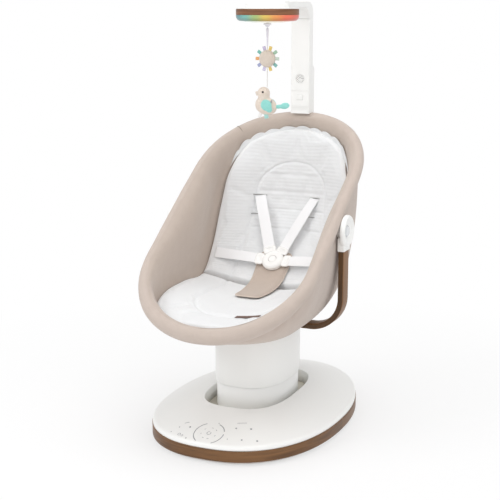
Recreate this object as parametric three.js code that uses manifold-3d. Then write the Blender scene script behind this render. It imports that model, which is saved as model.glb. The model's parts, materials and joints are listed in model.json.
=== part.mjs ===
// Powered baby swing: a rocking column on a base, a fork, a padded bucket seat and a toy arm.
// Millimetres, +Z up, front towards -Y, right (+X) and left (-X) as seen from the front.
import * as THREE from 'three';
import { mergeVertices } from 'three/addons/utils/BufferGeometryUtils.js';
import Module from 'manifold-3d';

const wasm = await Module();
wasm.setup();

// Clearance between faces that seat on each other, and running clearance of moving fits.
const GAP = 0.3;
const RUN = 0.5;

// Base plan: two half superellipses that share their widest line, over the column axis.
const BASE_HALF_WIDTH = 209;
const BASE_FRONT = 294;
const BASE_REAR = 328;
const BASE_FRONT_POWER = 2.35;
const BASE_REAR_POWER = 2;
const BASE_SIDES = 40;
const FOOT_HEIGHT = 3;
const FOOT_RADIUS = 17;
const FOOT_X = 110;
const FOOT_FRONT_Y = -190;
const FOOT_REAR_Y = 220;
const PLATE_HEIGHT = 5;
const PLATE_INSET = 7;
const BAND_HEIGHT = 25.5;
const BAND_WALL = 6;
const SHELL_WALL = 2.6;
const SHELL_SHOULDER = 12;
const SHELL_RISE = 44.5;
const SLOT_HALF_WIDTH = 95;
const SLOT_FRONT = 157;
const SLOT_REAR = 153;
const SLOT_POWER = 2.9;
const SLOT_DEPTH = 28;
const SLOT_LIP = 5;
const INLET_RADIUS = 6;
const INLET_DEPTH = 28;
const BOARD_POST_RADIUS = 5;
const BOARD_POST_HEIGHT = 20;
const BOARD_POST_X = 50;
const BOARD_Y = -248;
const BOARD_HALF_LENGTH = 70;
const BOARD_HALF_WIDTH = 14;
const BOARD_THICKNESS = 1.6;
const CHIP_HALF_SIDE = 7;
const CHIP_HEIGHT = 3.4;
const CHIP_STEP = 40;

// Drive: rails, carriage and the rack and pinion that rock the column.
const TRAVEL = 30;
const RAIL_OFFSET = 60;
const RAIL_WIDTH = 12;
const RAIL_HEIGHT = 16;
const BLOCK_OFFSET = 120;
const BLOCK_LENGTH = 40;
const BLOCK_WALL = 8;
const CARRIAGE_THICKNESS = 4;
const CARRIAGE_MARGIN = 6;
const TOOTH_MODULE = 2.5;
const PINION_TEETH = 12;
const PINION_WIDTH = 13;
const RACK_SPARE = 60;
const RACK_BACK = 9;
const MOTOR_RADIUS = 22;

// Column: oval foot and telescoping sleeve, with the lift rack and pinion inside.
const COLUMN_HALF_WIDTH = 84;
const COLUMN_HALF_DEPTH = 120;
const COLUMN_POWER = 2.5;
const COLUMN_SIDES = 40;
const SLEEVE_WALL = 3;
const SLEEVE_BOTTOM = 111;
const SLEEVE_TOP = 218;
const SLEEVE_CAP = 4;
const LIFT_DOWN = 22;
const LIFT_PINION_Z = 150;
const LIFT_PINION_Y = 40;
const LIFT_RACK_LENGTH = 104;
const LIFT_STAND = 30;
const LIFT_STAND_HALF = 18;
const LIFT_MOTOR = 44;

// Swivel head and fork.
const HEAD_RADIUS = 70;
const HEAD_TOP = 244;
const SPINDLE_RADIUS = 20;
const SPINDLE_LENGTH = 12;
const ARM_THICKNESS = 12;
const ARM_WIDTH = 35;
const ARM_OUTER_X = 207;
const ARM_BEND = 75;
const ARM_ROOT_X = 50;
const ARM_TIP_Z = 432;

// Hubs on the recline axis.
const PIVOT_Z = 456;
const HUB_FACE_X = 214;
const HUB_RADIUS = 35;
const HUB_RIM = 10.5;
const HUB_BARREL_RADIUS = 18;
const HUB_BARREL_X = 191;
const PIN_RADIUS = 8;
const HUB_BUTTON_RADIUS = 12;
const SOCKET_DEPTH = 19;

// Seat rim: a stadium with superelliptic ends on a plane that leans back and sags a little.
const RIM_HALF_WIDTH = 190;
const RIM_FRONT = 302;
const RIM_BACK = 385;
const RIM_STRAIGHT_FRONT = 100;
const RIM_STRAIGHT_BACK = 171;
const RIM_POWER = 2.1;
const RIM_TILT = THREE.MathUtils.degToRad(34.9);
const RIM_SAG = 8.5e-5;
const RIM_Y = -56.8;
const RIM_Z = 456.3;
const RIM_STEPS = 40;
const RIM_RADIUS_FRONT = 18;
const RIM_RADIUS_SIDE = 13;
const RIM_RADIUS_TOP = 16.5;
const RIM_TUBE_RADIUS = 9;
const SLIT_ANGLE = THREE.MathUtils.degToRad(16);

// Bucket, bed and pads.
const FABRIC = 1.8;
const BUCKET_BOTTOM = 255;
const FLOOR_HALF_WIDTH = 122;
const FLOOR_FRONT = 250;
const FLOOR_BACK = 40;
const FLOOR_POWER = 3;
const BUCKET_POWER = 2.5;
const PAN_HEIGHT = 12;
const PAN_INSET = 12;
const BED_CURVE = 2.2;
const SEAT_THICKNESS = 18;
const BACK_THICKNESS = 21;
const PAD_EDGE = 6;
const PAD_REACH = 0.96;
const PAD_LIFT = 0.8;
const PAD_EDGE_LIFT = 1.8;
const LINER_MARGIN = 3.6;
const QUILT_DEPTH = 1.2;

// Harness.
const WEBBING_WIDTH = 20;
const WEBBING_THICKNESS = 1.6;
const BUCKLE_RADIUS = 26;
const BUCKLE_HEIGHT = 12;
const WAIST_LIFT = 2.6;
const BUCKLE_BUTTON_RADIUS = 9;
const CROTCH_TOP_WIDTH = 84;
const CROTCH_BOTTOM_WIDTH = 58;
const CROTCH_THICKNESS = 6;
const CROTCH_LIFT = 7.1;

// Toy arm.
const POST_WIDTH = 47;
const POST_FRONT_Y = 243;
const POST_DEPTH = 24;
const POST_LOWER_DEPTH = 35;
const POST_FOOT_Z = 681;
const POST_TOP_Z = 941;
const POST_RISE = POST_TOP_Z - POST_FOOT_Z;
const POST_STEP_Z = POST_FOOT_Z + (107 / 260) * POST_RISE;
const POST_BEND = 30;
const FACE_THICKNESS = 7;
const FACE_TOP_Z = POST_TOP_Z - 41;
const GRILLE_Z = POST_FOOT_Z + (81 / 260) * POST_RISE;
const GRILLE_RADIUS = 10.5;
const GRILLE_HOLE = 0.9;
const RELEASE_Z = POST_FOOT_Z + (37 / 260) * POST_RISE;
const RELEASE_WIDTH = 14;
const RELEASE_HEIGHT = 12;
const RELEASE_PROUD = 1;
const SEAM_Z = POST_FOOT_Z + 0.2 * POST_RISE;
const RIB_Z = POST_FOOT_Z + 9;
const RIB_STEP = 3.5;
const PEG_RADIUS = 7;

// Disc head and hanging toys.
const DISC_Y = 47;
const DISC_RADIUS = 69;
const DISC_SIDES = 32;
const DISC_TOP_Z = POST_TOP_Z - 15;
const DISC_LIP = 2;
const DISC_WOOD = 13;
const DISC_LIGHT = 13;
const DISC_WALL = 4;
const DISC_CAP = 4;
const BOSS_RADIUS = 47;
const BOSS_HEIGHT = 11;
const KNOB_RADIUS = 9;
const KNOB_HEIGHT = 9;
const KNOB_SPINDLE = 3;
const CAP_RADIUS = 53.5;
const STRING_RADIUS = 1;
const SUN_Z = DISC_TOP_Z - 109;
const SUN_RADIUS = 19;
const SUN_THICKNESS = 22;
const SUN_TABS = 10;
const SUN_TAB_LENGTH = 10;
const SUN_TAB_WIDTH = 8;
const BIRD_TOP_Z = SUN_Z - 61;
const BIRD_LENGTH = 55;

// Heights and radii that follow from them.
const PLATE_TOP = FOOT_HEIGHT + PLATE_HEIGHT;
const BAND_TOP = PLATE_TOP + BAND_HEIGHT;
const SLOT_EDGE_Z = BAND_TOP + SHELL_RISE;
const CARRIAGE_TOP = SLOT_EDGE_Z - SLOT_DEPTH - RUN;
const CARRIAGE_BOTTOM = CARRIAGE_TOP - CARRIAGE_THICKNESS;
const PINION_PITCH = (TOOTH_MODULE * PINION_TEETH) / 2;
const FOOT_SHRINK = SLEEVE_WALL + RUN;
const DISC_WOOD_Z = DISC_TOP_Z - DISC_LIP;
const DISC_LIGHT_Z = DISC_WOOD_Z - DISC_WOOD;
const DISC_CAP_Z = DISC_LIGHT_Z - DISC_LIGHT;
const DISC_BOTTOM_Z = DISC_CAP_Z - DISC_CAP;
const SPINDLE_HOLE = SPINDLE_RADIUS + RUN;

const WHITE = { color: 0xeeece8, roughness: 0.35, metalness: 0 };
const WOOD = { color: 0x8b5e3c, roughness: 0.5, metalness: 0 };
const FABRIC_BEIGE = { color: 0xb3a08d, roughness: 0.9, metalness: 0 };
const PAD_WHITE = { color: 0xececec, roughness: 0.95, metalness: 0 };
const WEBBING = { color: 0xf4f4f6, roughness: 0.8, metalness: 0 };
const STEEL = { color: 0x9a9ca0, roughness: 0.35, metalness: 1 };
const DARK = { color: 0x3a3a3c, roughness: 0.6, metalness: 0 };
const NYLON = { color: 0xd8d4c8, roughness: 0.5, metalness: 0 };
const BOARD = { color: 0x2f6b46, roughness: 0.6, metalness: 0 };
const MINT = { color: 0x9fe3d8, roughness: 0.95, metalness: 0 };
const CREAM = { color: 0xf0e4d6, roughness: 0.95, metalness: 0 };
const GLOW = { color: 0xf2c060, roughness: 0.3, metalness: 0 };

const V2 = (x, y) => new THREE.Vector2(x, y);
const V3 = (x, y, z) => new THREE.Vector3(x, y, z);
const lerp = THREE.MathUtils.lerp;
const signedPower = (value, power) => Math.sign(value) * Math.abs(value) ** power;
const smooth = (value) => THREE.MathUtils.smoothstep(value, 0, 1);

// Keeps position and index only, merges equal corners, drops empty triangles, turns faces outwards.
function solid(geometry) {
  const plain = new THREE.BufferGeometry();
  plain.setAttribute('position', geometry.getAttribute('position'));
  if (geometry.index) plain.setIndex(geometry.index);
  const merged = mergeVertices(plain, 1e-3);
  const spots = merged.getAttribute('position');
  const corner = (i) => new THREE.Vector3().fromBufferAttribute(spots, i);
  const faces = [];
  let volume = 0;
  for (let i = 0; i < merged.index.count; i += 3) {
    const [a, b, c] = [0, 1, 2].map((k) => merged.index.getX(i + k));
    if (a === b || b === c || c === a) continue;
    faces.push([a, b, c]);
    volume += corner(a).dot(corner(b).cross(corner(c)));
  }
  const turned = volume < 0 ? faces.map(([a, b, c]) => [a, c, b]) : faces;
  merged.setIndex(turned.flat());
  return merged;
}

function toManifold(geometry) {
  const clean = solid(geometry);
  return new wasm.Manifold(new wasm.Mesh({
    numProp: 3,
    vertProperties: new Float32Array(clean.getAttribute('position').array),
    triVerts: new Uint32Array(clean.index.array),
  }));
}

function fromManifold(manifold) {
  const mesh = manifold.getMesh();
  const geometry = new THREE.BufferGeometry();
  geometry.setAttribute('position', new THREE.Float32BufferAttribute(mesh.vertProperties, 3));
  geometry.setIndex(Array.from(mesh.triVerts));
  return geometry;
}

const join = (first, ...others) => fromManifold(
  others.reduce((sum, other) => sum.add(toManifold(other)), toManifold(first)));
const cut = (first, ...tools) => fromManifold(
  tools.reduce((rest, tool) => rest.subtract(toManifold(tool)), toManifold(first)));

const model = new THREE.Group();

function part(name, geometry, finish) {
  const mesh = new THREE.Mesh(solid(geometry), new THREE.MeshStandardMaterial(finish));
  mesh.name = name;
  model.add(mesh);
  return mesh;
}

// Plan outlines, counter-clockwise seen from above.
function eggOutline(inset, sides = BASE_SIDES) {
  return Array.from({ length: sides }, (_, i) => {
    const angle = (2 * Math.PI * i) / sides;
    const front = Math.sin(angle) < 0;
    const power = 2 / (front ? BASE_FRONT_POWER : BASE_REAR_POWER);
    const reach = (front ? BASE_FRONT : BASE_REAR) - inset;
    return V2(
      (BASE_HALF_WIDTH - inset) * signedPower(Math.cos(angle), power),
      reach * signedPower(Math.sin(angle), power));
  });
}

function ovalOutline(halfX, halfY, power, sides, middleY = 0) {
  return Array.from({ length: sides }, (_, i) => {
    const angle = (2 * Math.PI * i) / sides;
    return V2(
      halfX * signedPower(Math.cos(angle), 2 / power),
      middleY + halfY * signedPower(Math.sin(angle), 2 / power));
  });
}

const columnOutline = (inset) => ovalOutline(
  COLUMN_HALF_WIDTH - inset, COLUMN_HALF_DEPTH - inset, COLUMN_POWER, COLUMN_SIDES);
const slotOutline = (outset) => ovalOutline(
  SLOT_HALF_WIDTH + outset, (SLOT_FRONT + SLOT_REAR) / 2 + outset, SLOT_POWER, BASE_SIDES,
  (SLOT_REAR - SLOT_FRONT) / 2);
const atHeight = (outline, z) => outline.map((p) => V3(p.x, p.y, z));

function prism(outline, z0, z1, hole) {
  const shape = new THREE.Shape(outline);
  if (hole) shape.holes.push(new THREE.Path(hole));
  const geometry = new THREE.ExtrudeGeometry(shape, { depth: z1 - z0, bevelEnabled: false });
  return geometry.translate(0, 0, z0);
}

// Joins rings of equal count into a skin; closed adds the strip from the last ring to the first.
function skin(rings, closed = false) {
  const count = rings[0].length;
  const faces = [];
  const strips = closed ? rings.length : rings.length - 1;
  for (let i = 0; i < strips; i += 1) {
    const next = (i + 1) % rings.length;
    for (let j = 0; j < count; j += 1) {
      const right = (j + 1) % count;
      const [a, b] = [i * count + j, i * count + right];
      const [c, d] = [next * count + right, next * count + j];
      faces.push(a, b, c, a, c, d);
    }
  }
  const geometry = new THREE.BufferGeometry();
  geometry.setAttribute('position',
    new THREE.Float32BufferAttribute(rings.flat().flatMap((p) => [p.x, p.y, p.z]), 3));
  geometry.setIndex(faces);
  return geometry;
}

// Gives an open skin a wall on its back side.
function thicken(surface, wall) {
  const front = mergeVertices(surface, 1e-3);
  const all = Array.from(front.index.array);
  const faces = [];
  for (let i = 0; i < all.length; i += 3) {
    const [a, b, c] = all.slice(i, i + 3);
    if (a !== b && b !== c && c !== a) faces.push([a, b, c]);
  }
  front.setIndex(faces.flat());
  front.computeVertexNormals();
  const spots = Array.from(front.getAttribute('position').array);
  const normals = front.getAttribute('normal').array;
  const count = spots.length / 3;
  const back = spots.map((value, i) => value - normals[i] * wall);
  const edges = new Map();
  faces.forEach((face) => face.forEach((a, k) => {
    const b = face[(k + 1) % 3];
    edges.set(`${a},${b}`, [a, b]);
  }));
  const closed = faces.flat();
  faces.forEach(([a, b, c]) => closed.push(a + count, c + count, b + count));
  edges.forEach(([a, b]) => {
    if (!edges.has(`${b},${a}`)) closed.push(b, a, a + count, b, a + count, b + count);
  });
  const geometry = new THREE.BufferGeometry();
  geometry.setAttribute('position', new THREE.Float32BufferAttribute([...spots, ...back], 3));
  geometry.setIndex(closed);
  return geometry;
}

const box = (x0, x1, y0, y1, z0, z1) => new THREE.BoxGeometry(x1 - x0, y1 - y0, z1 - z0)
  .translate((x0 + x1) / 2, (y0 + y1) / 2, (z0 + z1) / 2);
const pole = (radius, z0, z1, x = 0, y = 0, sides = 20) => new THREE.CylinderGeometry(
  radius, radius, z1 - z0, sides).rotateX(Math.PI / 2).translate(x, y, (z0 + z1) / 2);
const poleX = (radius, x0, x1, y, z, sides = 20) => new THREE.CylinderGeometry(
  radius, radius, x1 - x0, sides).rotateZ(Math.PI / 2).translate((x0 + x1) / 2, y, z);
const poleY = (radius, y0, y1, x, z, sides = 20) => new THREE.CylinderGeometry(
  radius, radius, y1 - y0, sides).translate(x, (y0 + y1) / 2, z);
// Profile of [radius, height] turned about the Z axis.
const turned = (profile, sides = 32) => new THREE.LatheGeometry(
  profile.map(([r, z]) => V2(r, z)), sides).rotateX(Math.PI / 2);

// Base
function buildBase() {
  const plate = prism(eggOutline(PLATE_INSET), FOOT_HEIGHT, PLATE_TOP);
  const bosses = [-1, 1].map((side) => pole(
    BOARD_POST_RADIUS, PLATE_TOP - 1, PLATE_TOP + BOARD_POST_HEIGHT, side * BOARD_POST_X, BOARD_Y, 12));
  part('base_bottom_plate', join(plate, ...bosses), WHITE);
  const feet = {
    front_left: [-FOOT_X, FOOT_FRONT_Y],
    front_right: [FOOT_X, FOOT_FRONT_Y],
    rear_left: [-FOOT_X, FOOT_REAR_Y],
    rear_right: [FOOT_X, FOOT_REAR_Y],
  };
  Object.entries(feet).forEach(([place, [x, y]]) => {
    part(`foot_pad_${place}`, pole(FOOT_RADIUS, 0, FOOT_HEIGHT - GAP, x, y, 14), DARK);
  });
  const inletZ = (PLATE_TOP + BAND_TOP) / 2;
  const band = prism(eggOutline(0), PLATE_TOP + GAP, BAND_TOP - GAP, eggOutline(BAND_WALL));
  const inletHole = poleY(INLET_RADIUS + GAP, BASE_REAR - 20, BASE_REAR + 5, 0, inletZ, 16);
  part('base_wood_band', cut(band, inletHole), WOOD);
  const jack = poleY(INLET_RADIUS, BASE_REAR - INLET_DEPTH, BASE_REAR - 1, 0, inletZ, 16);
  const socket = poleY(INLET_RADIUS / 2, BASE_REAR - INLET_DEPTH + 8, BASE_REAR, 0, inletZ, 12);
  part('power_inlet', cut(jack, socket), DARK);
  const crown = SLOT_EDGE_Z - 1;
  const shoulder = BAND_TOP + SHELL_SHOULDER;
  const rim = eggOutline(11);
  const lip = slotOutline(SLOT_LIP);
  const dome = [0.3, 0.65, 1].map((d) => rim.map((p, j) => V3(
    lerp(p.x, lip[j].x, d),
    lerp(p.y, lip[j].y, d),
    shoulder + (crown - shoulder) * (1 - (1 - d) ** 1.3))));
  const rings = [
    atHeight(eggOutline(1), BAND_TOP + GAP),
    atHeight(eggOutline(1.6), BAND_TOP + SHELL_SHOULDER * 0.36),
    atHeight(eggOutline(4.5), BAND_TOP + SHELL_SHOULDER * 0.75),
    atHeight(rim, shoulder),
    ...dome,
    atHeight(slotOutline(1.5), SLOT_EDGE_Z),
    atHeight(slotOutline(0), SLOT_EDGE_Z - 2),
    atHeight(slotOutline(-2), SLOT_EDGE_Z - SLOT_DEPTH),
  ];
  part('base_top_shell', thicken(skin(rings), SHELL_WALL), WHITE);
  const boardZ = PLATE_TOP + BOARD_POST_HEIGHT + GAP;
  const chipZ = boardZ + BOARD_THICKNESS;
  const board = box(-BOARD_HALF_LENGTH, BOARD_HALF_LENGTH, BOARD_Y - BOARD_HALF_WIDTH,
    BOARD_Y + BOARD_HALF_WIDTH, boardZ, chipZ);
  const chips = [-CHIP_STEP, 0, CHIP_STEP].map((x) => box(x - CHIP_HALF_SIDE, x + CHIP_HALF_SIDE,
    BOARD_Y - CHIP_HALF_SIDE, BOARD_Y + CHIP_HALF_SIDE, chipZ - 0.5, chipZ + CHIP_HEIGHT));
  part('control_board', join(board, ...chips), BOARD);
}

// Straight flanked teeth on a wheel and on a bar of one module, with play between them.
const TOOTH_ADDENDUM = 0.8 * TOOTH_MODULE;
const TOOTH_DEDENDUM = 1.15 * TOOTH_MODULE;
const TOOTH_PITCH = Math.PI * TOOTH_MODULE;

function pinion(width, boreRadius) {
  const outline = [];
  for (let i = 0; i < PINION_TEETH; i += 1) {
    const middle = (2 * Math.PI * i) / PINION_TEETH;
    const step = (2 * Math.PI) / PINION_TEETH;
    [[-0.27, -TOOTH_DEDENDUM], [-0.1, TOOTH_ADDENDUM], [0.1, TOOTH_ADDENDUM], [0.27, -TOOTH_DEDENDUM]]
      .forEach(([share, height]) => {
        const radius = PINION_PITCH + height;
        const angle = middle + share * step;
        outline.push(V2(radius * Math.cos(angle), radius * Math.sin(angle)));
      });
  }
  const bore = ovalOutline(boreRadius, boreRadius, 2, 12);
  return prism(outline, 0, width, bore);
}

// Bar along Y with its teeth towards +X, pitch line at X = 0. One tooth stands at its middle.
function rack(length, width) {
  const teeth = 2 * Math.floor((length / TOOTH_PITCH - 1) / 2) + 1;
  const shape = [V2(-RACK_BACK, -length / 2), V2(-TOOTH_DEDENDUM, -length / 2)];
  for (let i = 0; i < teeth; i += 1) {
    const middle = (i - (teeth - 1) / 2) * TOOTH_PITCH;
    [[-0.33, -TOOTH_DEDENDUM], [-0.1, TOOTH_ADDENDUM], [0.1, TOOTH_ADDENDUM], [0.33, -TOOTH_DEDENDUM]]
      .forEach(([share, height]) => shape.push(V2(height, middle + share * TOOTH_PITCH)));
  }
  shape.push(V2(-TOOTH_DEDENDUM, length / 2), V2(-RACK_BACK, length / 2));
  return prism(shape, 0, width);
}

function buildDrive() {
  const railTop = PLATE_TOP + RAIL_HEIGHT;
  const reach = BLOCK_OFFSET + BLOCK_LENGTH / 2 + TRAVEL + 8;
  const half = RAIL_WIDTH / 2;
  [['left', -1], ['right', 1]].forEach(([side, sign]) => {
    const x = sign * RAIL_OFFSET;
    part(`guide_rail_${side}`, box(x - half, x + half, -reach, reach, PLATE_TOP + GAP, railTop), STEEL);
  });
  const plate = prism(ovalOutline(SLOT_HALF_WIDTH + CARRIAGE_MARGIN, (SLOT_FRONT + SLOT_REAR) / 2 + TRAVEL
    + CARRIAGE_MARGIN, SLOT_POWER + 0.4, COLUMN_SIDES), CARRIAGE_BOTTOM, CARRIAGE_TOP);
  const corners = [[-1, -1], [1, -1], [-1, 1], [1, 1]];
  const blocks = corners.map(([sx, sy]) => box(
    sx * RAIL_OFFSET - half - BLOCK_WALL, sx * RAIL_OFFSET + half + BLOCK_WALL,
    sy * BLOCK_OFFSET - BLOCK_LENGTH / 2, sy * BLOCK_OFFSET + BLOCK_LENGTH / 2,
    PLATE_TOP + 6, CARRIAGE_BOTTOM + 1));
  const grooves = [-1, 1].map((sign) => box(
    sign * RAIL_OFFSET - half - GAP, sign * RAIL_OFFSET + half + GAP,
    -reach, reach, PLATE_TOP, railTop + GAP));
  part('carriage_plate', cut(join(plate, ...blocks), ...grooves), NYLON);
  const rackZ = CARRIAGE_BOTTOM - GAP - PINION_WIDTH;
  part('drive_rack', rack(2 * TRAVEL + RACK_SPARE, PINION_WIDTH).translate(-PINION_PITCH, 0, rackZ), NYLON);
  part('drive_pinion', pinion(PINION_WIDTH - 2, 2).translate(0, 0, rackZ)
    .rotateZ(Math.PI / PINION_TEETH), STEEL);
  const shaft = pole(1.7, rackZ - 2, rackZ + PINION_WIDTH - 2, 0, 0, 12);
  const body = pole(MOTOR_RADIUS, PLATE_TOP + GAP, rackZ - GAP, 0, 0, 24);
  part('drive_motor', join(body, shaft), STEEL);
}

function buildColumn() {
  const footTop = SLEEVE_TOP - SLEEVE_CAP - LIFT_DOWN - 3;
  part('column_foot', prism(columnOutline(FOOT_SHRINK), CARRIAGE_TOP + GAP, footTop,
    columnOutline(FOOT_SHRINK + SLEEVE_WALL)), WHITE);
  const hole = (z) => atHeight(ovalOutline(SPINDLE_HOLE, SPINDLE_HOLE, 2, COLUMN_SIDES), z);
  const edge = 2;
  const rings = [
    atHeight(columnOutline(0), SLEEVE_BOTTOM),
    atHeight(columnOutline(0), SLEEVE_TOP - edge),
    atHeight(columnOutline(edge), SLEEVE_TOP),
    hole(SLEEVE_TOP),
    hole(SLEEVE_TOP - SLEEVE_CAP),
    atHeight(columnOutline(SLEEVE_WALL), SLEEVE_TOP - SLEEVE_CAP),
    atHeight(columnOutline(SLEEVE_WALL), SLEEVE_BOTTOM),
  ];
  part('column_sleeve', skin(rings, true), WHITE);
  const rackTop = SLEEVE_TOP - SLEEVE_CAP - GAP;
  part('lift_rack', liftRack(rackTop), NYLON);
  const rackLead = rackTop - LIFT_RACK_LENGTH / 2 - LIFT_PINION_Z;
  const mesh = rackLead / PINION_PITCH - Math.PI / PINION_TEETH;
  part('lift_pinion', pinion(PINION_WIDTH - 2, 2).rotateZ(mesh)
    .translate(0, 0, -(PINION_WIDTH - 2) / 2).rotateY(Math.PI / 2)
    .translate(0, LIFT_PINION_Y, LIFT_PINION_Z), STEEL);
  const motorX = PINION_WIDTH / 2 + 2 * GAP;
  const stand = box(motorX, motorX + LIFT_STAND, LIFT_PINION_Y - LIFT_STAND_HALF,
    LIFT_PINION_Y + LIFT_STAND_HALF, CARRIAGE_TOP + GAP, LIFT_PINION_Z);
  const drum = poleX(MOTOR_RADIUS, motorX, motorX + LIFT_MOTOR, LIFT_PINION_Y, LIFT_PINION_Z, 24);
  const shaft = poleX(1.7, motorX - PINION_WIDTH + 3, motorX + 1, LIFT_PINION_Y, LIFT_PINION_Z, 12);
  part('lift_motor', join(stand, drum, shaft), STEEL);
}

// Rack that hangs from the sleeve's cap with its teeth towards the pinion, along -Y.
function liftRack(top) {
  const bar = rack(LIFT_RACK_LENGTH, PINION_WIDTH);
  const turn = new THREE.Matrix4().makeBasis(V3(0, -1, 0), V3(0, 0, 1), V3(-1, 0, 0));
  bar.applyMatrix4(turn);
  return bar.translate(PINION_WIDTH / 2, LIFT_PINION_Y + PINION_PITCH, top - LIFT_RACK_LENGTH / 2);
}

function armOutline() {
  const bottom = HEAD_TOP - ARM_THICKNESS;
  const centre = V2(ARM_OUTER_X - ARM_BEND, bottom + ARM_BEND);
  const shape = new THREE.Shape();
  shape.moveTo(ARM_ROOT_X, bottom);
  shape.absarc(centre.x, centre.y, ARM_BEND, -Math.PI / 2, 0, false);
  shape.lineTo(ARM_OUTER_X, ARM_TIP_Z);
  shape.lineTo(ARM_OUTER_X - ARM_THICKNESS, ARM_TIP_Z);
  shape.absarc(centre.x, centre.y, ARM_BEND - ARM_THICKNESS, 0, -Math.PI / 2, true);
  shape.lineTo(ARM_ROOT_X, HEAD_TOP);
  return shape;
}

function buildFork() {
  const bottom = SLEEVE_TOP + GAP;
  const head = turned([
    [0, bottom - SPINDLE_LENGTH], [SPINDLE_RADIUS, bottom - SPINDLE_LENGTH], [SPINDLE_RADIUS, bottom],
    [HEAD_RADIUS - 2, bottom], [HEAD_RADIUS, bottom + 2], [HEAD_RADIUS, HEAD_TOP - 2],
    [HEAD_RADIUS - 3, HEAD_TOP], [0, HEAD_TOP]], 28);
  const half = ARM_WIDTH / 2 + GAP;
  const notches = [-1, 1].map((sign) => box(
    Math.min(sign * (ARM_ROOT_X - GAP), sign * 90), Math.max(sign * (ARM_ROOT_X - GAP), sign * 90),
    -half, half, HEAD_TOP - ARM_THICKNESS - GAP, HEAD_TOP + 5));
  part('swivel_head', cut(head, ...notches), WHITE);
  const bevel = 1.5;
  const arm = new THREE.ExtrudeGeometry(armOutline(), {
    depth: ARM_WIDTH - 2 * bevel, curveSegments: 10,
    bevelEnabled: true, bevelSize: bevel, bevelThickness: bevel, bevelOffset: -bevel, bevelSegments: 1,
  }).rotateX(Math.PI / 2).translate(0, ARM_WIDTH / 2 - bevel, 0);
  const socketBox = (grow, z0, z1) => box(
    ARM_OUTER_X - ARM_THICKNESS - grow, ARM_OUTER_X + grow,
    -ARM_WIDTH / 2 - grow, ARM_WIDTH / 2 + grow, z0, z1);
  const socketWall = 2.4;
  const housing = join(
    turned([
      [PIN_RADIUS + 0.4, HUB_BARREL_X], [HUB_BARREL_RADIUS, HUB_BARREL_X],
      [HUB_BARREL_RADIUS, HUB_FACE_X - HUB_RIM], [HUB_RADIUS, HUB_FACE_X - HUB_RIM],
      [HUB_RADIUS, HUB_FACE_X - 4], [HUB_RADIUS - 3, HUB_FACE_X], [HUB_RADIUS - 7, HUB_FACE_X],
      [HUB_RADIUS - 15, HUB_FACE_X - 5], [HUB_BUTTON_RADIUS + 0.4, HUB_FACE_X - 6],
      [HUB_BUTTON_RADIUS + 0.4, HUB_FACE_X - 13.5], [PIN_RADIUS + 0.4, HUB_FACE_X - 13.5],
      [PIN_RADIUS + 0.4, HUB_BARREL_X]], 24)
      .rotateY(Math.PI / 2).translate(0, 0, PIVOT_Z),
    cut(socketBox(socketWall, ARM_TIP_Z - SOCKET_DEPTH, PIVOT_Z - HUB_BARREL_RADIUS + 6),
      socketBox(GAP, ARM_TIP_Z - SOCKET_DEPTH - 1, ARM_TIP_Z + GAP)));
  const hub = cut(housing, socketBox(GAP, ARM_TIP_Z - SOCKET_DEPTH - 30, ARM_TIP_Z + GAP));
  const button = turned([
    [0, HUB_FACE_X - 9.7], [HUB_BUTTON_RADIUS, HUB_FACE_X - 9.7], [HUB_BUTTON_RADIUS, HUB_FACE_X - 4],
    [HUB_BUTTON_RADIUS - 2.5, HUB_FACE_X - 2.4], [0, HUB_FACE_X - 2]], 20)
    .rotateY(Math.PI / 2).translate(0, 0, PIVOT_Z);
  [['left', -1], ['right', 1]].forEach(([side, sign]) => {
    const place = (geometry) => geometry.clone().scale(sign, 1, 1);
    part(`yoke_arm_${side}`, place(arm), WOOD);
    part(`hub_housing_${side}`, place(hub), WHITE);
    part(`hub_button_${side}`, place(button), WHITE);
  });
}

// Seat: the rim line by its distance s along the leaning plane, from the front (-) to the back (+).
function rimHalfWidth(s) {
  const straight = s < 0 ? RIM_STRAIGHT_FRONT : RIM_STRAIGHT_BACK;
  const reach = s < 0 ? RIM_FRONT : RIM_BACK;
  const beyond = Math.max(0, Math.abs(s) - straight) / (reach - straight);
  return RIM_HALF_WIDTH * Math.max(0, 1 - beyond ** RIM_POWER) ** (1 / RIM_POWER);
}

// Loft stations from the front tip to the back tip of the seat. Each holds the edge point of the bed
// (x, y, z), its middle point (y, z) and the place s on the rim that it hangs from.
const STATIONS = [
  [0, -276, 270, -276, 270, -RIM_FRONT],
  [88, -262, 276, -262, 272, -285],
  [146, -218, 296, -218, 273, -225],
  [163, -150, 314, -150, 274, -140],
  [165, -62, 318, -66, 276, -45],
  [165, 40, 315, 56, 283, 50],
  [167, 98, 375, 154, 358, 125],
  [165, 140, 470, 225, 455, 200],
  [152, 168, 548, 243, 540, 275],
  [108, 218, 616, 250, 603, 345],
  [0, 260, 641, 260, 641, RIM_BACK],
];
const LAST = STATIONS.length - 1;
const aroundSeat = (pick) => new THREE.CatmullRomCurve3([
  ...STATIONS.map((row) => pick(row, 1)),
  ...STATIONS.slice(1, LAST).reverse().map((row) => pick(row, -1)),
], true, 'catmullrom');
const edgeCurve = aroundSeat(([x, y, z], side) => V3(side * x, y, z));
const middleCurve = aroundSeat(([, , , y, z, s]) => V3(s, y, z));
const station = (number) => number / (2 * LAST);

// Point of the rim line at t, 0 at the front tip, 0.5 at the back tip, right side first.
function rimCentre(t) {
  const s = THREE.MathUtils.clamp(middleCurve.getPoint(t).x, -RIM_FRONT, RIM_BACK);
  const side = t <= 0.5 ? 1 : -1;
  const sag = RIM_SAG * s * s;
  return V3(
    side * rimHalfWidth(s),
    RIM_Y + s * Math.cos(RIM_TILT) + sag * Math.sin(RIM_TILT),
    RIM_Z + s * Math.sin(RIM_TILT) - sag * Math.cos(RIM_TILT));
}

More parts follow.
